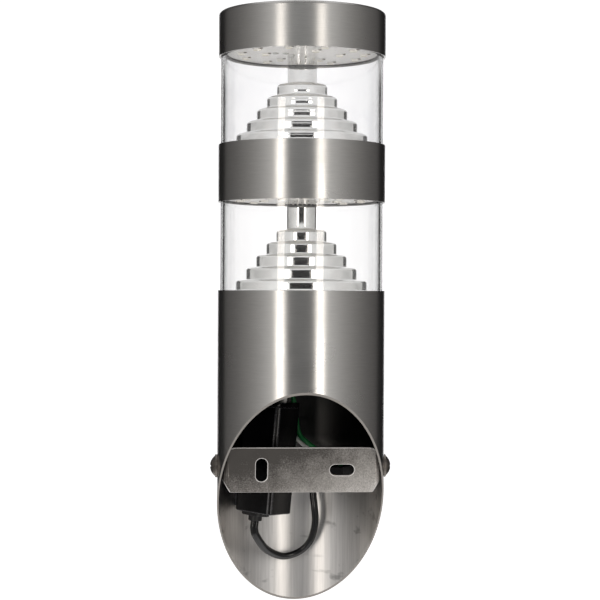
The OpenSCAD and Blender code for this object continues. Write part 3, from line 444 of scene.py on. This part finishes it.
nodeFinish = {
    "lower_tube": sleeveSteel, "middle_band": capSteel, "top_cap": capSteel,
    "lower_window": acrylic["clearAcrylic"], "upper_window": acrylic["handledAcrylic"],
    "lower_reflector": mirrorCoats["metallisedPlastic"], "upper_reflector": mirrorCoats["dulledMetallised"],
    "tube_bulkhead": "diecastAluminium", "band_carrier": "diecastAluminium", "cap_carrier": "diecastAluminium",
    "tie_rod": "zincPlatedSteel", "tie_nuts": "zincPlatedSteel", "tie_washer": "zincPlatedSteel",
    "wire_grommets": "mouldedSealRubber",
    "side_screws": "tumbledScrewSteel", "screw_washers": "tumbledScrewSteel",
    "driver_case": "glossyBlackPlastic", "driver_cover": "glossyBlackPlastic", "driver_pad": foam,
    "driver_board": "greenSolderMask", "driver_transformer": "amberFilmTape", "driver_capacitors": "shrunkBlueSleeve",
    "lead_gland": "mouldedBlackNylon",
    "terminal_block": "mouldedBlackNylon", "terminal_screws": "turnedBrass", "terminal_pad": foam,
    "earth_terminal": "tinnedCopper", "earth_screw": "zincPlatedSteel",
    "wall_bracket": zincSheet, "bracket_nuts": "zincPlatedSteel",
    "driver_lead": "extrudedBlackJacket", "white_wire": "whiteInsulation", "earth_wire": "greenInsulation",
    "output_wires": "redInsulation", "link_wires": "redInsulation",
}
for floor in ("lower_", "upper_"):
    nodeFinish.update({
        floor + "gaskets": "mouldedSealRubber", floor + "board_ring": "mouldedSealRubber",
        floor + "led_board": "whiteSolderMask", floor + "leds": "phosphorSilicone",
        floor + "resistors": "firedBlackGlaze", floor + "solder": "cooledSolder"})


def finishOf(name):
    chosen = nodeFinish[name]
    return finish[chosen] if isinstance(chosen, str) else chosen


for name, node in frame["nodes"].items():
    node.data.materials.clear()
    node.data.materials.append(finishOf(name))
for name in ("lower_window", "upper_window"):
    frame["nodes"][name].visible_shadow = False  # clear acrylic lets the lamps through


# Wires: the routes of the CAD wires, rounded into smooth bends

# driver frame to tube frame, and the poles of the terminal block, mm
driverTurn, driverLean, driverCorner = math.radians(-130), math.radians(4.7), (13.9, -4.8, -7.4)
blockTurn, blockOut, polePitch = math.radians(-120), 28.0, 7.0


def driverPoint(x, y, z):
    a = x * math.cos(driverTurn) - y * math.sin(driverTurn)
    b = x * math.sin(driverTurn) + y * math.cos(driverTurn)
    return (driverCorner[0] + a * math.cos(driverLean) - z * math.sin(driverLean), b + driverCorner[1],
            driverCorner[2] + a * math.sin(driverLean) + z * math.cos(driverLean))


def polePoint(pole, z):
    side = (1 - pole) * polePitch
    return (blockOut * math.cos(blockTurn) - side * math.sin(blockTurn),
            blockOut * math.sin(blockTurn) + side * math.cos(blockTurn), z)


wires = {
    "driverLead": {
        "node": "driver_lead", "slot": "lead_black", "diameter": 3.8, "thickness": 2.8, "turns": (0, 20),
        "stiffness": "medium", "lay": "loose", "finish": ["extrudedBlackJacket"],
        "routes": [[
            driverPoint(5.5, 12.1, -4.1), driverPoint(5.5, 12.1, -8.1), (19, -18.5, -19), (14, -25.5, -26),
            (6, -31, -30), (-2, -32.5, -28), (-7, -31, -22.5), (-9, -28.5, -14), (-8.6, -27.3, -6.5),
            polePoint(0, -0.5), polePoint(0, 3.5)
        ]],
    },
    "whiteWire": {
        "node": "white_wire", "slot": "wire_white", "diameter": 2.2, "stiffness": "medium", "lay": "loose",
        "finish": ["whiteInsulation"],
        "routes": [[
            polePoint(1, 14), polePoint(1, 16.5), (-9.8, -25.7, 19.5), (-5.2, -27.4, 22), (-0.8, -29.2, 25.5),
            (2, -30.3, 31), (3.5, -30.6, 38), (6, -29.6, 45), driverPoint(16.3, 13.5, 58.1),
            driverPoint(11.6, 10.6, 60), driverPoint(8.9, 6, 58.2), driverPoint(8, 3, 54.5), driverPoint(8, 3, 52)
        ]],
    },
    "earthWire": {
        "node": "earth_wire", "slot": "wire_green", "diameter": 2.2, "stiffness": "medium", "lay": "loose",
        "finish": ["greenInsulation"],
        "routes": [[
            polePoint(2, 14), polePoint(2, 16.5), (-15.5, -22, 19), (-9.3, -23.8, 21.5), (-5, -25.2, 24.5),
            (-1.2, -26.8, 28.5), (0.2, -27.8, 36), (1.5, -27.3, 44), (4.5, -25, 56.15), (4.5, -21, 65.6),
            (4.5, -20, 71), (4.5, -20, 75)
        ]],
    },
    "outputWire": {
        "node": "output_wires", "slot": "wire_red", "diameter": 1.2, "stiffness": "limp", "lay": "loose",
        "finish": ["redInsulation", "blackInsulation"],
        "routes": [[
            driverPoint(8, 12, 52), driverPoint(8, 12, 55), driverPoint(3.4, 7.9, 64.3), (10.5, -8.5, 70),
            (10, -8, 78), (10, -8, 97), (9, -8, 103), (2, -9, 109), (-3, -5.5, 116), (-3.9, -1.6, 123),
            (-3.9, -1.6, 131), (-4.1, -1.9, 139), (-5.6, -2.8, 140.2), (-11, -6, 140.2), (-12.5, -6.5, 140.1),
            (-12.5, -6.5, 137)
        ], [
            driverPoint(8, 15.5, 52), driverPoint(8, 15.5, 55), driverPoint(2.2, 12.5, 64), (17, -11, 70),
            (17, -11, 78), (17, -11, 97), (14, -12, 103), (5, -12, 109), (-1.5, -7, 116), (-2.4, -3.4, 123),
            (-2.4, -3.4, 131), (-2.5, -3.6, 139), (-3.8, -4.5, 140.2), (-7, -6.2, 140.2), (-8, -6.5, 140.1),
            (-8, -6.5, 137)
        ]],
    },
    "linkWire": {
        "node": "link_wires", "slot": "wire_red", "diameter": 1.2, "stiffness": "limp", "lay": "loose",
        "finish": ["redInsulation", "blackInsulation"],
        "routes": [[
            (-12.5, -10.5, 137), (-12.5, -10.5, 140.9), (-11.6, -9.8, 141.6), (-3.2, -4.4, 141.6), (-1.2, -4, 142.8),
            (1, -4.1, 150), (3.4, -2.5, 165), (4.2, 0.3, 180), (3.9, 1.6, 195), (4.1, 1.9, 205), (5.6, 2.8, 206.2),
            (11, 6, 206.2), (12.5, 6.5, 206.1), (12.5, 6.5, 203)
        ], [
            (-8, -10.5, 137), (-8, -10.5, 140.9), (-7.4, -9.7, 141.6), (-1.4, -5.2, 141.6), (0.8, -3.9, 142.8),
            (2.8, -3.1, 150), (4.2, -0.8, 165), (3.7, 2, 180), (2.4, 3.4, 195), (2.5, 3.6, 205), (3.8, 4.5, 206.2),
            (7, 6.2, 206.2), (8, 6.5, 206.1), (8, 6.5, 203)
        ]],
    },
}


def smoothRoute(route, steps=8):
    # Catmull-Rom through the points, in metres
    points = [onTube(p) for p in route]
    ends = [2 * points[0] - points[1]] + points + [2 * points[-1] - points[-2]]
    line = [points[0]]
    for before, start, end, after in zip(ends, ends[1:], ends[2:], ends[3:]):
        for k in range(1, steps + 1):
            t = k / steps
            line.append(0.5 * ((2 * start) + (end - before) * t + (2 * before - 5 * start + 4 * end - after) * t ** 2
                               + (3 * start - before - 3 * end + after) * t ** 3))
    return line


def lengthOf(line):
    return sum((b - a).length for a, b in zip(line, line[1:]))


def roundWire(name, line, look):
    data = bpy.data.curves.new(name, "CURVE")
    data.dimensions, data.use_fill_caps = "3D", True
    data.bevel_depth, data.bevel_resolution = look["diameter"] * mm / 2, 6
    spline = data.splines.new("POLY")
    spline.points.add(len(line) - 1)
    for point, place in zip(spline.points, line):
        point.co = (*place, 1)
    spline.use_smooth = True
    return newObject(name, data)


def twinWire(name, line, look):
    # two cores side by side in one jacket, with a groove between, slowly turned along the route
    radius, out = look["thickness"] * mm / 2, (look["diameter"] - look["thickness"]) * mm / 2
    groove = math.acos(-out / radius)
    outline = [(out + radius * math.cos(a), radius * math.sin(a))
               for a in [groove * (k / 9 - 1) for k in range(1, 18)]]
    outline += [(0, radius * math.sin(groove))] + [(-x, -y) for x, y in outline] + [(0, -radius * math.sin(groove))]
    shape = bmesh.new()
    wide, rows = Vector((1, 0, 0)), []
    for index, place in enumerate(line):
        heading = (line[min(index + 1, len(line) - 1)] - line[max(index - 1, 0)]).normalized()
        wide = (wide - heading * wide.dot(heading)).normalized()
        first, last = look["turns"]
        spun = Matrix.Rotation(math.radians(first + (last - first) * index / (len(line) - 1)), 3, heading) @ wide
        thin = heading.cross(spun)
        rows.append([shape.verts.new(place + spun * x + thin * y) for x, y in outline])
    for a, b in zip(rows, rows[1:]):
        for k in range(len(outline)):
            shape.faces.new((a[k - 1], a[k], b[k], b[k - 1]))
    shape.faces.new(rows[0])
    shape.faces.new(rows[-1][::-1])
    bmesh.ops.recalc_face_normals(shape, faces=shape.faces)
    for face in shape.faces:
        face.smooth = len(face.verts) == 4
    return newObject(name, newMesh(name, shape))


def layWire(name, route, look, shade):
    line = smoothRoute(route)
    flat = "thickness" in look
    wire = twinWire(name, line, look) if flat else roundWire(name, line, look)
    wire.data.materials.append(finish[shade])
    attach(wire, "lamp")
    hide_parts(look["node"])
    print(name, "length", round(lengthOf(line) * 1000, 1), "mm")


for name, look in wires.items():
    for index, (route, shade) in enumerate(zip(look["routes"], look["finish"])):
        layWire(name if len(look["routes"]) == 1 else name + "ABCD"[index], route, look, shade)


# Hard pieces: the CAD shapes with their real broken edges

weldGap = 2e-6  # metres, joins the points of the CAD mesh that lie in one place
flatAngle = 0.6  # degrees, faces that meet at less than this are one flat face
strayShare = 0.4  # of the edge's width: a rounded point further than this from the CAD surface is astray


def brokenEdges(node, width, edgeFinish=None, segments=2, angle=34):
    # a copy of the node's own shape whose sharp edges are rounded by width, in mm
    source = frame["nodes"][node]
    shape = bmesh.new()
    shape.from_mesh(source.data)
    bmesh.ops.remove_doubles(shape, verts=shape.verts, dist=weldGap)
    bmesh.ops.dissolve_limit(shape, angle_limit=math.radians(flatAngle), verts=shape.verts, edges=shape.edges)
    mesh = newMesh(node, shape)
    mesh.materials.append(finishOf(node))
    if edgeFinish:
        mesh.materials.append(finish[edgeFinish])
    mesh.polygons.foreach_set("use_smooth", [True] * len(mesh.polygons))
    mesh.set_sharp_from_angle(angle=math.radians(angle))
    piece = newObject("".join(p.capitalize() for p in node.split("_")) + "Softened", mesh)
    bevel = piece.modifiers.new("brokenEdge", "BEVEL")
    bevel.width, bevel.segments = width * mm, segments
    bevel.limit_method, bevel.angle_limit = "ANGLE", math.radians(angle)
    bevel.harden_normals = True
    bevel.miter_outer = "MITER_ARC"
    bevel.use_clamp_overlap = False
    if edgeFinish:
        bevel.material = 1
    rounded = bpy.data.meshes.new_from_object(piece.evaluated_get(bpy.context.evaluated_depsgraph_get()))
    piece.modifiers.clear()
    piece.data = rounded
    # where short edges meet, a corner can fold outwards: such points go back onto the node's own surface
    surface = BVHTree.FromPolygons([v.co for v in mesh.vertices], [p.vertices for p in mesh.polygons])
    for vertex in rounded.vertices:
        nearest = surface.find_nearest(vertex.co)[0]
        if (nearest - vertex.co).length > width * mm * strayShare:
            vertex.co = nearest
    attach(piece, source["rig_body"])
    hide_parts(node)
    return piece


edgeWidths = {  # mm, from the photograph and from how each is made
    # the bracket's rounded edges are bare sheared steel with a painted highlight
    "wall_bracket": (0.35, "shearedEdge", "bracket_steel"),
    # the driver case's rounded edges carry a painted highlight
    "driver_case": (0.55, "rubbedBlackEdge", "driver_black"),
    "driver_cover": (0.4, None, "driver_black"),
    "lead_gland": (0.3, None, "driver_black"),
    "terminal_block": (0.35, None, "block_black"),
    "screw_washers": (0.15, None, "screw_steel"),
    "bracket_nuts": (0.25, None, "plated_steel"),
}
for name, (width, edgeFinish, slotName) in edgeWidths.items():
    brokenEdges(name, width, edgeFinish)
print("hard pieces softened")


# foam tape under the driver and the block, with its edges pressed round
pads = {"driver_pad": 0.6, "terminal_pad": 0.5}  # mm, radius of the edge
for name, radius in pads.items():
    pad = brokenEdges(name, radius, None, 4)


# Stepped mirrors: turned from the mould's own profile, with full rounds at the edges and in the corners

mirrorShape = {
    "seats": {"lower": 94.7, "upper": 160.7},  # height of the flange's underside up the tube, mm
    "flange": (35.1, 1.2),  # radius and thickness
    "firstStep": (30.0, 4.8), "step": (4.6, 5.7), "steps": 5,
    "post": (6.75, 42.3), "wall": 1.2,
    "edge": 1.4, "corner": 0.8,  # radius of the rounds outside and inside
    "rim": 0.2, "brim": 0.15,  # chamfers of the post and of the flange
    "bulge": 0.04,  # the moulded walls swell by this much
    "around": 144,
    "sharp": 40,  # degrees, where the shading breaks
}


def arcPoints(middle, radius, first, last, count=6):
    turns = [math.radians(first + (last - first) * k / count) for k in range(count + 1)]
    return [(middle[0] + radius * math.cos(t), middle[1] + radius * math.sin(t)) for t in turns]


def makeMirror(name, node, material, look):
    edge, corner, wall = look["edge"], look["corner"], look["wall"]
    radii = [look["firstStep"][0] - k * look["step"][0] for k in range(look["steps"])]
    tops = [look["flange"][1] + look["firstStep"][1] + k * look["step"][1] for k in range(look["steps"])]
    flangeRadius, floorHeight = look["flange"]
    profile = [(flangeRadius, 0), (flangeRadius, floorHeight - look["brim"]),
               (flangeRadius - look["brim"], floorHeight)]
    for radius, top in zip(radii, tops):
        profile += arcPoints((radius + corner, floorHeight + corner), corner, 270, 180)
        low, high = floorHeight + corner, top - edge
        profile += [(radius - look["bulge"] * (1 - math.sin(math.pi * k / 6)), low + (high - low) * k / 6)
                    for k in range(1, 6)]
        profile += arcPoints((radius - edge, top - edge), edge, 0, 90)
        floorHeight = top
    postRadius, postTop = look["post"]
    profile += arcPoints((postRadius + corner, floorHeight + corner), corner, 270, 180)
    profile += [(postRadius, postTop - look["rim"]), (postRadius - look["rim"], postTop), (postRadius - wall, postTop),
                (postRadius - wall, tops[-1] - wall)]
    for k in range(look["steps"] - 1, -1, -1):
        profile += [(radii[k] - wall, tops[k] - wall), (radii[k] - wall, tops[k - 1] - wall if k else 0)]
    shape = bmesh.new()
    seat = look["seats"]["lower" if node.startswith("lower") else "upper"]
    rings = []
    for k in range(look["around"]):
        turn = 2 * math.pi * k / look["around"]
        rings.append([shape.verts.new(onTube((r * math.cos(turn), r * math.sin(turn), seat + z))) for r, z in profile])
    for k, ring in enumerate(rings):
        following = rings[(k + 1) % len(rings)]
        for m in range(len(profile)):
            shape.faces.new((ring[m], following[m], following[m - 1], ring[m - 1]))
    bmesh.ops.recalc_face_normals(shape, faces=shape.faces)
    mesh = newMesh(name, shape)
    mesh.polygons.foreach_set("use_smooth", [True] * len(mesh.polygons))
    mesh.set_sharp_from_angle(angle=math.radians(look["sharp"]))
    mesh.materials.append(material)
    mirror = newObject(name, mesh)
    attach(mirror, "lamp")
    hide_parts(node)


makeMirror("lowerMirror", "lower_reflector", mirrorCoats["metallisedPlastic"], mirrorShape)
makeMirror("upperMirror", "upper_reflector", mirrorCoats["dulledMetallised"], mirrorShape)
print("mirrors turned")


# LEDs and resistors: one small moulding at each CAD block

# mm, but for the shares of the frame or end cap at which the lens or body starts inside it
ledLook = {"frame": 0.38, "recess": 0.1, "edge": 0.1, "lensEdge": 0.18, "lensShare": 0.9,
           "pad": 0.5, "padInset": 0.5, "padThickness": 0.18}
resistorLook = {"endCap": 0.32, "bodyShare": 0.8, "edge": 0.06, "step": 0.02}


def blocksOf(node):
    # lowest and highest corner of each CAD block in the tube's own directions, mm
    shape = bmesh.new()
    shape.from_mesh(frame["nodes"][node].data)
    bmesh.ops.remove_doubles(shape, verts=shape.verts, dist=weldGap)
    left, blocks, back = set(shape.verts), [], tubeTurn.inverted()
    while left:
        found, edgeOfFound = set(), [left.pop()]
        while edgeOfFound:
            vertex = edgeOfFound.pop()
            found.add(vertex)
            for edge in vertex.link_edges:
                other = edge.other_vert(vertex)
                if other not in found:
                    left.discard(other)
                    edgeOfFound.append(other)
        places = [back @ v.co / mm for v in found]
        low, high = [[pick(p[k] for p in places) for k in range(3)] for pick in (min, max)]
        blocks.append((Vector(low), Vector(high)))
    shape.free()
    return sorted(blocks, key=lambda b: tuple(round(v, 3) for v in b[0]))


def addBlock(shape, low, high, slot, edge=0):
    # a block between two corners on the tube, mm, with rounded edges
    made = bmesh.ops.create_cube(shape, size=1)["verts"]
    for vertex in made:
        vertex.co = Vector([low[k] + (vertex.co[k] + 0.5) * (high[k] - low[k]) for k in range(3)])
    faces = list(dict.fromkeys(f for v in made for f in v.link_faces))
    for face in faces:
        face.material_index = slot
    if edge:
        edges = list(dict.fromkeys(e for f in faces for e in f.edges))
        rounded = bmesh.ops.bevel(shape, geom=edges, offset=edge, segments=2, affect="EDGES", profile=0.5)
        for face in rounded["faces"]:
            face.material_index = slot


def finishBlocks(name, shape, node, materials):
    # the bevel gives its points and faces in another order each run, so they are sorted by place
    shape.normal_update()
    for items, placeOf in ((shape.verts, lambda v: v.co),
                           (shape.faces, lambda f: (*f.calc_center_median(), *f.normal, f.calc_area()))):
        for index, item in enumerate(sorted(items, key=lambda i: tuple(round(c, 3) for c in placeOf(i)))):
            item.index = index
        items.sort()
    bmesh.ops.transform(shape, matrix=tubeTurn @ Matrix.Scale(mm, 4), verts=shape.verts)
    mesh = newMesh(name, shape)
    for shade in materials:
        mesh.materials.append(finish[shade])
    piece = newObject(name, mesh)
    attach(piece, "lamp")
    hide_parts(node)


def makeLeds(name, node, look):
    shape = bmesh.new()
    for low, high in blocksOf(node):
        rim, sunk, pad = look["frame"], look["recess"], look["pad"]
        # four walls of the white housing round a lens of phosphor silicone, and two soldered ends against the board
        addBlock(shape, low, (high[0], low[1] + rim, high[2]), 0, look["edge"])
        addBlock(shape, (low[0], high[1] - rim, low[2]), high, 0, look["edge"])
        addBlock(shape, (low[0], low[1] + rim, low[2]), (low[0] + rim, high[1] - rim, high[2]), 0, look["edge"])
        addBlock(shape, (high[0] - rim, low[1] + rim, low[2]), (high[0], high[1] - rim, high[2]), 0, look["edge"])
        lens = rim * look["lensShare"]
        addBlock(shape, (low[0] + lens, low[1] + lens, low[2] + sunk), (high[0] - lens, high[1] - lens, high[2]), 1,
                 look["lensEdge"])
        for x in (low[0], high[0] - pad):
            addBlock(shape, (x, low[1] + look["padInset"], high[2] - look["padThickness"]),
                     (x + pad, high[1] - look["padInset"], high[2]), 2)
    finishBlocks(name, shape, node, ("whiteLedFrame", "phosphorSilicone", "cooledSolder"))


def makeResistors(name, node, look):
    shape = bmesh.new()
    for low, high in blocksOf(node):
        cap, body, step = look["endCap"], look["endCap"] * look["bodyShare"], look["step"]
        addBlock(shape, (low[0] + body, low[1] + step, low[2] + step), (high[0] - body, high[1] - step, high[2]), 0,
                 look["edge"])
        addBlock(shape, low, (low[0] + cap, high[1], high[2]), 1, look["edge"])
        addBlock(shape, (high[0] - cap, low[1], low[2]), high, 1, look["edge"])
    finishBlocks(name, shape, node, ("firedBlackGlaze", "tinnedCopper"))


for floor in ("lower", "upper"):
    makeLeds(floor + "LedRow", floor + "_leds", ledLook)
    makeResistors(floor + "ResistorRow", floor + "_resistors", resistorLook)
print("LEDs and resistors built")


# Studio: two tall lamps either side of the camera, side screens that shade to grey, a white room

studioSet = {
    "heading": math.atan2(*cameraSet["eye"][:2]),  # the camera's own side, seen from the tube
    "lampAngles": (28.5, -26.0),  # degrees from the camera
    "lampSize": (0.22, 0.6),  # metres
    "lampDistance": 1.25,
    "lampGlow": 4.9,  # times a white wall
    "lampRise": 0.02,
    "floorDrop": 0.42,  # metres below the light
    "floorReach": 6,  # metres from its middle to each side
    "floorLift": 0.55,
    "roomGlow": 0.62,  # what the white room adds to the lamps
    "lampColour": "#fff7ed", "roomColour": "#fbfbff",
}

# Paper screens round the light. Each has two ramps over the share of the way round from the camera: what bare steel
# sees in it, and what the mirrors see through the acrylic at their own height. Above and below that they see paleGrey.
paleGrey = [(0.0, "#f2f2f1"), (0.3, "#ecebea"), (0.56, "#dddcdb"), (0.88, "#e6e6e6")]
screens = {
    "sideScreen": {"angles": (35, 160), "radius": 0.58, "heights": (-0.75, 0.95), "middle": (0.02, 0.27), "soft": 0.02,
                   "steel": [(0.19, "#ecebe8"), (0.25, "#dedcda"), (0.3, "#c8c6c4"), (0.35, "#b6b4b2"),
                             (0.41, "#a3a19f"), (0.47, "#949290"), (0.53, "#838180"), (0.6, "#757372"),
                             (0.7, "#636160"), (0.72, "#2e2e2e"), (0.88, "#202020")],
                   "mirror": [(0.19, "#f6f5f3"), (0.27, "#f2f1ef"), (0.33, "#e7e6e4"), (0.4, "#dbd9d7"),
                              (0.48, "#d0cfcd"), (0.56, "#c9c8c6"), (0.705, "#c4c3c1"), (0.715, "#141414"),
                              (0.83, "#141414"), (0.84, "#e6e6e6")]},
    "cameraScreen": {"angles": (0, 19.5), "radius": 1.5, "heights": (-0.26, 0.335), "middle": (-1, 1), "soft": 0.1,
                     "steel": [(0.0, "#343435"), (0.11, "#3d3d3e")], "mirror": [(0.0, "#19191a"), (0.11, "#1f1f20")]},
    "overCamera": {"angles": (0, 35), "radius": 1.5, "heights": (0.335, 1.0), "middle": (-1, 0.35), "soft": 0.008,
                   "steel": [(0.0, "#dededd"), (0.2, "#e8e8e7")],
                   "mirror": [(0.0, "#19191a"), (0.105, "#1f1f20"), (0.112, "#ecebea")]},
    "highRoom": {"angles": (0, 35), "radius": 1.5, "heights": (1.0, 5.0), "middle": (-1, 1), "soft": 0.1,
                 "steel": [(0.0, "#6a6968"), (0.2, "#75736f")], "mirror": paleGrey},
    "lowRoom": {"angles": (0, 35), "radius": 1.5, "heights": (-1.6, -0.26), "middle": (-1, 1), "soft": 0.1,
                "steel": [(0.0, "#9b9a99"), (0.2, "#a3a2a1")], "mirror": paleGrey},
}


def atAngle(angle, radius, height):
    # degrees round the tube from the camera, metres out and up
    turn = studioSet["heading"] + math.radians(angle)
    return tubeTurn @ Vector((math.sin(turn) * radius, math.cos(turn) * radius, height))


def makeLamps(look):
    for angle, name in zip(look["lampAngles"], ("leftLamp", "rightLamp")):
        data = bpy.data.lights.new(name, "AREA")
        data.shape, data.size, data.size_y = "RECTANGLE", *look["lampSize"]
        data.energy = look["lampGlow"] * math.pi * look["lampSize"][0] * look["lampSize"][1]
        data.color = hexColour(look["lampColour"])[:3]
        lamp = newObject(name, data)
        place = atAngle(angle, look["lampDistance"], 0)
        back = place.normalized()
        lamp.matrix_world = Matrix.Translation(place + alongTube * look["lampRise"]) @ Matrix(
            (alongTube.cross(back), alongTube, back)).transposed().to_4x4()


def screenPaint(name, look):
    material = bpy.data.materials.new(name)
    material.use_nodes = True
    material.cycles.emission_sampling = "NONE"
    tree = material.node_tree
    tree.nodes.clear()
    parts = addNode(tree, "SeparateXYZ", {}, {0: tubeMillimetres(tree)})
    turn = addNode(tree, "Math", {"operation": "ARCTAN2"}, {0: parts.outputs[0], 1: parts.outputs[1]})
    fromCamera = addNode(tree, "Math", {"operation": "SUBTRACT", 1: studioSet["heading"]}, {0: turn})
    wrapped = addNode(tree, "Math", {"operation": "WRAP", 1: math.pi, 2: -math.pi}, {0: fromCamera})
    share = addNode(tree, "Math", {"operation": "DIVIDE", 1: math.pi},
                    {0: addNode(tree, "Math", {"operation": "ABSOLUTE"}, {0: wrapped})})
    steel, mirror, beyond = [addNode(tree, "ValToRGB", {"stops": stops}, {"Fac": share})
                             for stops in (look["steel"], look["mirror"], paleGrey)]
    low, high, soft = look["middle"][0] * 1000, look["middle"][1] * 1000, look["soft"] * 1000
    centred = addNode(tree, "Math", {"operation": "SUBTRACT", 1: (low + high) / 2}, {0: parts.outputs[2]})
    away = addNode(tree, "MapRange", {"interpolation_type": "SMOOTHSTEP", "From Min": (high - low) / 2 - soft,
                                      "From Max": (high - low) / 2 + soft},
                   {"Value": addNode(tree, "Math", {"operation": "ABSOLUTE"}, {0: centred})})
    inMirror = addNode(tree, "Mix", {"data_type": "RGBA"}, {0: away, 6: mirror, 7: beyond})
    path = addNode(tree, "LightPath")
    shade = addNode(tree, "Mix", {"data_type": "RGBA"},
                    {0: path.outputs["Is Transmission Ray"], 6: steel, 7: inMirror.outputs[2]})
    glow = addNode(tree, "Emission", {"Strength": 1.0}, {"Color": shade.outputs[2]})
    addNode(tree, "OutputMaterial", {}, {"Surface": glow})
    return material


def makeScreens(looks):
    # paper screens that only reflections and glass see, so they neither light nor shade the piece
    strips = 40
    for name, look in looks.items():
        first, last = look["angles"]
        for side in (1, -1):
            shape = bmesh.new()
            rows = [[shape.verts.new(atAngle(side * (first + (last - first) * k / strips), look["radius"], height))
                     for height in look["heights"]] for k in range(strips + 1)]
            for a, b in zip(rows, rows[1:]):
                shape.faces.new((a[0], b[0], b[1], a[1]))
            mesh = newMesh(name, shape)
            mesh.materials.append(screenPaint(name, look))
            screen = newObject(name + ("Left" if side > 0 else "Right"), mesh)
            screen.visible_camera = screen.visible_diffuse = screen.visible_shadow = False


def backgroundRay(tree):
    # what the camera, metal and glass see of the surroundings
    path = addNode(tree, "LightPath")
    glossy = addNode(tree, "Math", {"operation": "MAXIMUM"},
                     {0: path.outputs["Is Camera Ray"], 1: path.outputs["Is Glossy Ray"]})
    return addNode(tree, "Math", {"operation": "MAXIMUM"}, {0: glossy, 1: path.outputs["Is Transmission Ray"]})


def makeRoom(look):
    world = bpy.data.worlds.new("whiteRoom")
    bpy.context.scene.world = world
    world.use_nodes = True
    tree = world.node_tree
    tree.nodes.clear()
    light = addNode(tree, "Background", {"Color": hexColour(look["roomColour"]), "Strength": look["roomGlow"]})
    white = addNode(tree, "Background", {"Color": (1, 1, 1, 1), "Strength": 1.0})
    chosen = addNode(tree, "MixShader", {}, {0: backgroundRay(tree), 1: light, 2: white})
    addNode(tree, "OutputWorld", {}, {"Surface": chosen})


def makeFloor(look):
    shape = bmesh.new()
    bmesh.ops.create_grid(shape, x_segments=4, y_segments=4, size=look["floorReach"])
    floor = newObject("floor", newMesh("floor", shape))
    floor.location = (0, 0, cadBox[0][2] - look["floorDrop"])
    # painted board, matt white; what is seen of it is lifted to white, and the shadow stays on it
    material, tree, surface = newMaterial("mattWhiteBoard", {"Roughness": 0.9, "Emission Color": (1, 1, 1, 1)})
    grain = addNode(tree, "TexNoise", {"Scale": 3.0})
    tone = addNode(tree, "ValToRGB", {"stops": [(0.3, "#f2f1ef"), (0.7, "#f8f8f6")]}, {"Fac": grain.outputs["Fac"]})
    tree.links.new(tone.outputs[0], surface.inputs["Base Color"])
    lift = addNode(tree, "Math", {"operation": "MULTIPLY", 1: look["floorLift"]}, {0: backgroundRay(tree)})
    tree.links.new(lift.outputs[0], surface.inputs["Emission Strength"])
    floor.data.materials.append(material)


makeLamps(studioSet)
makeScreens(screens)
makeRoom(studioSet)
makeFloor(studioSet)
bpy.context.scene.view_settings.view_transform = "Standard"
print("studio lit")
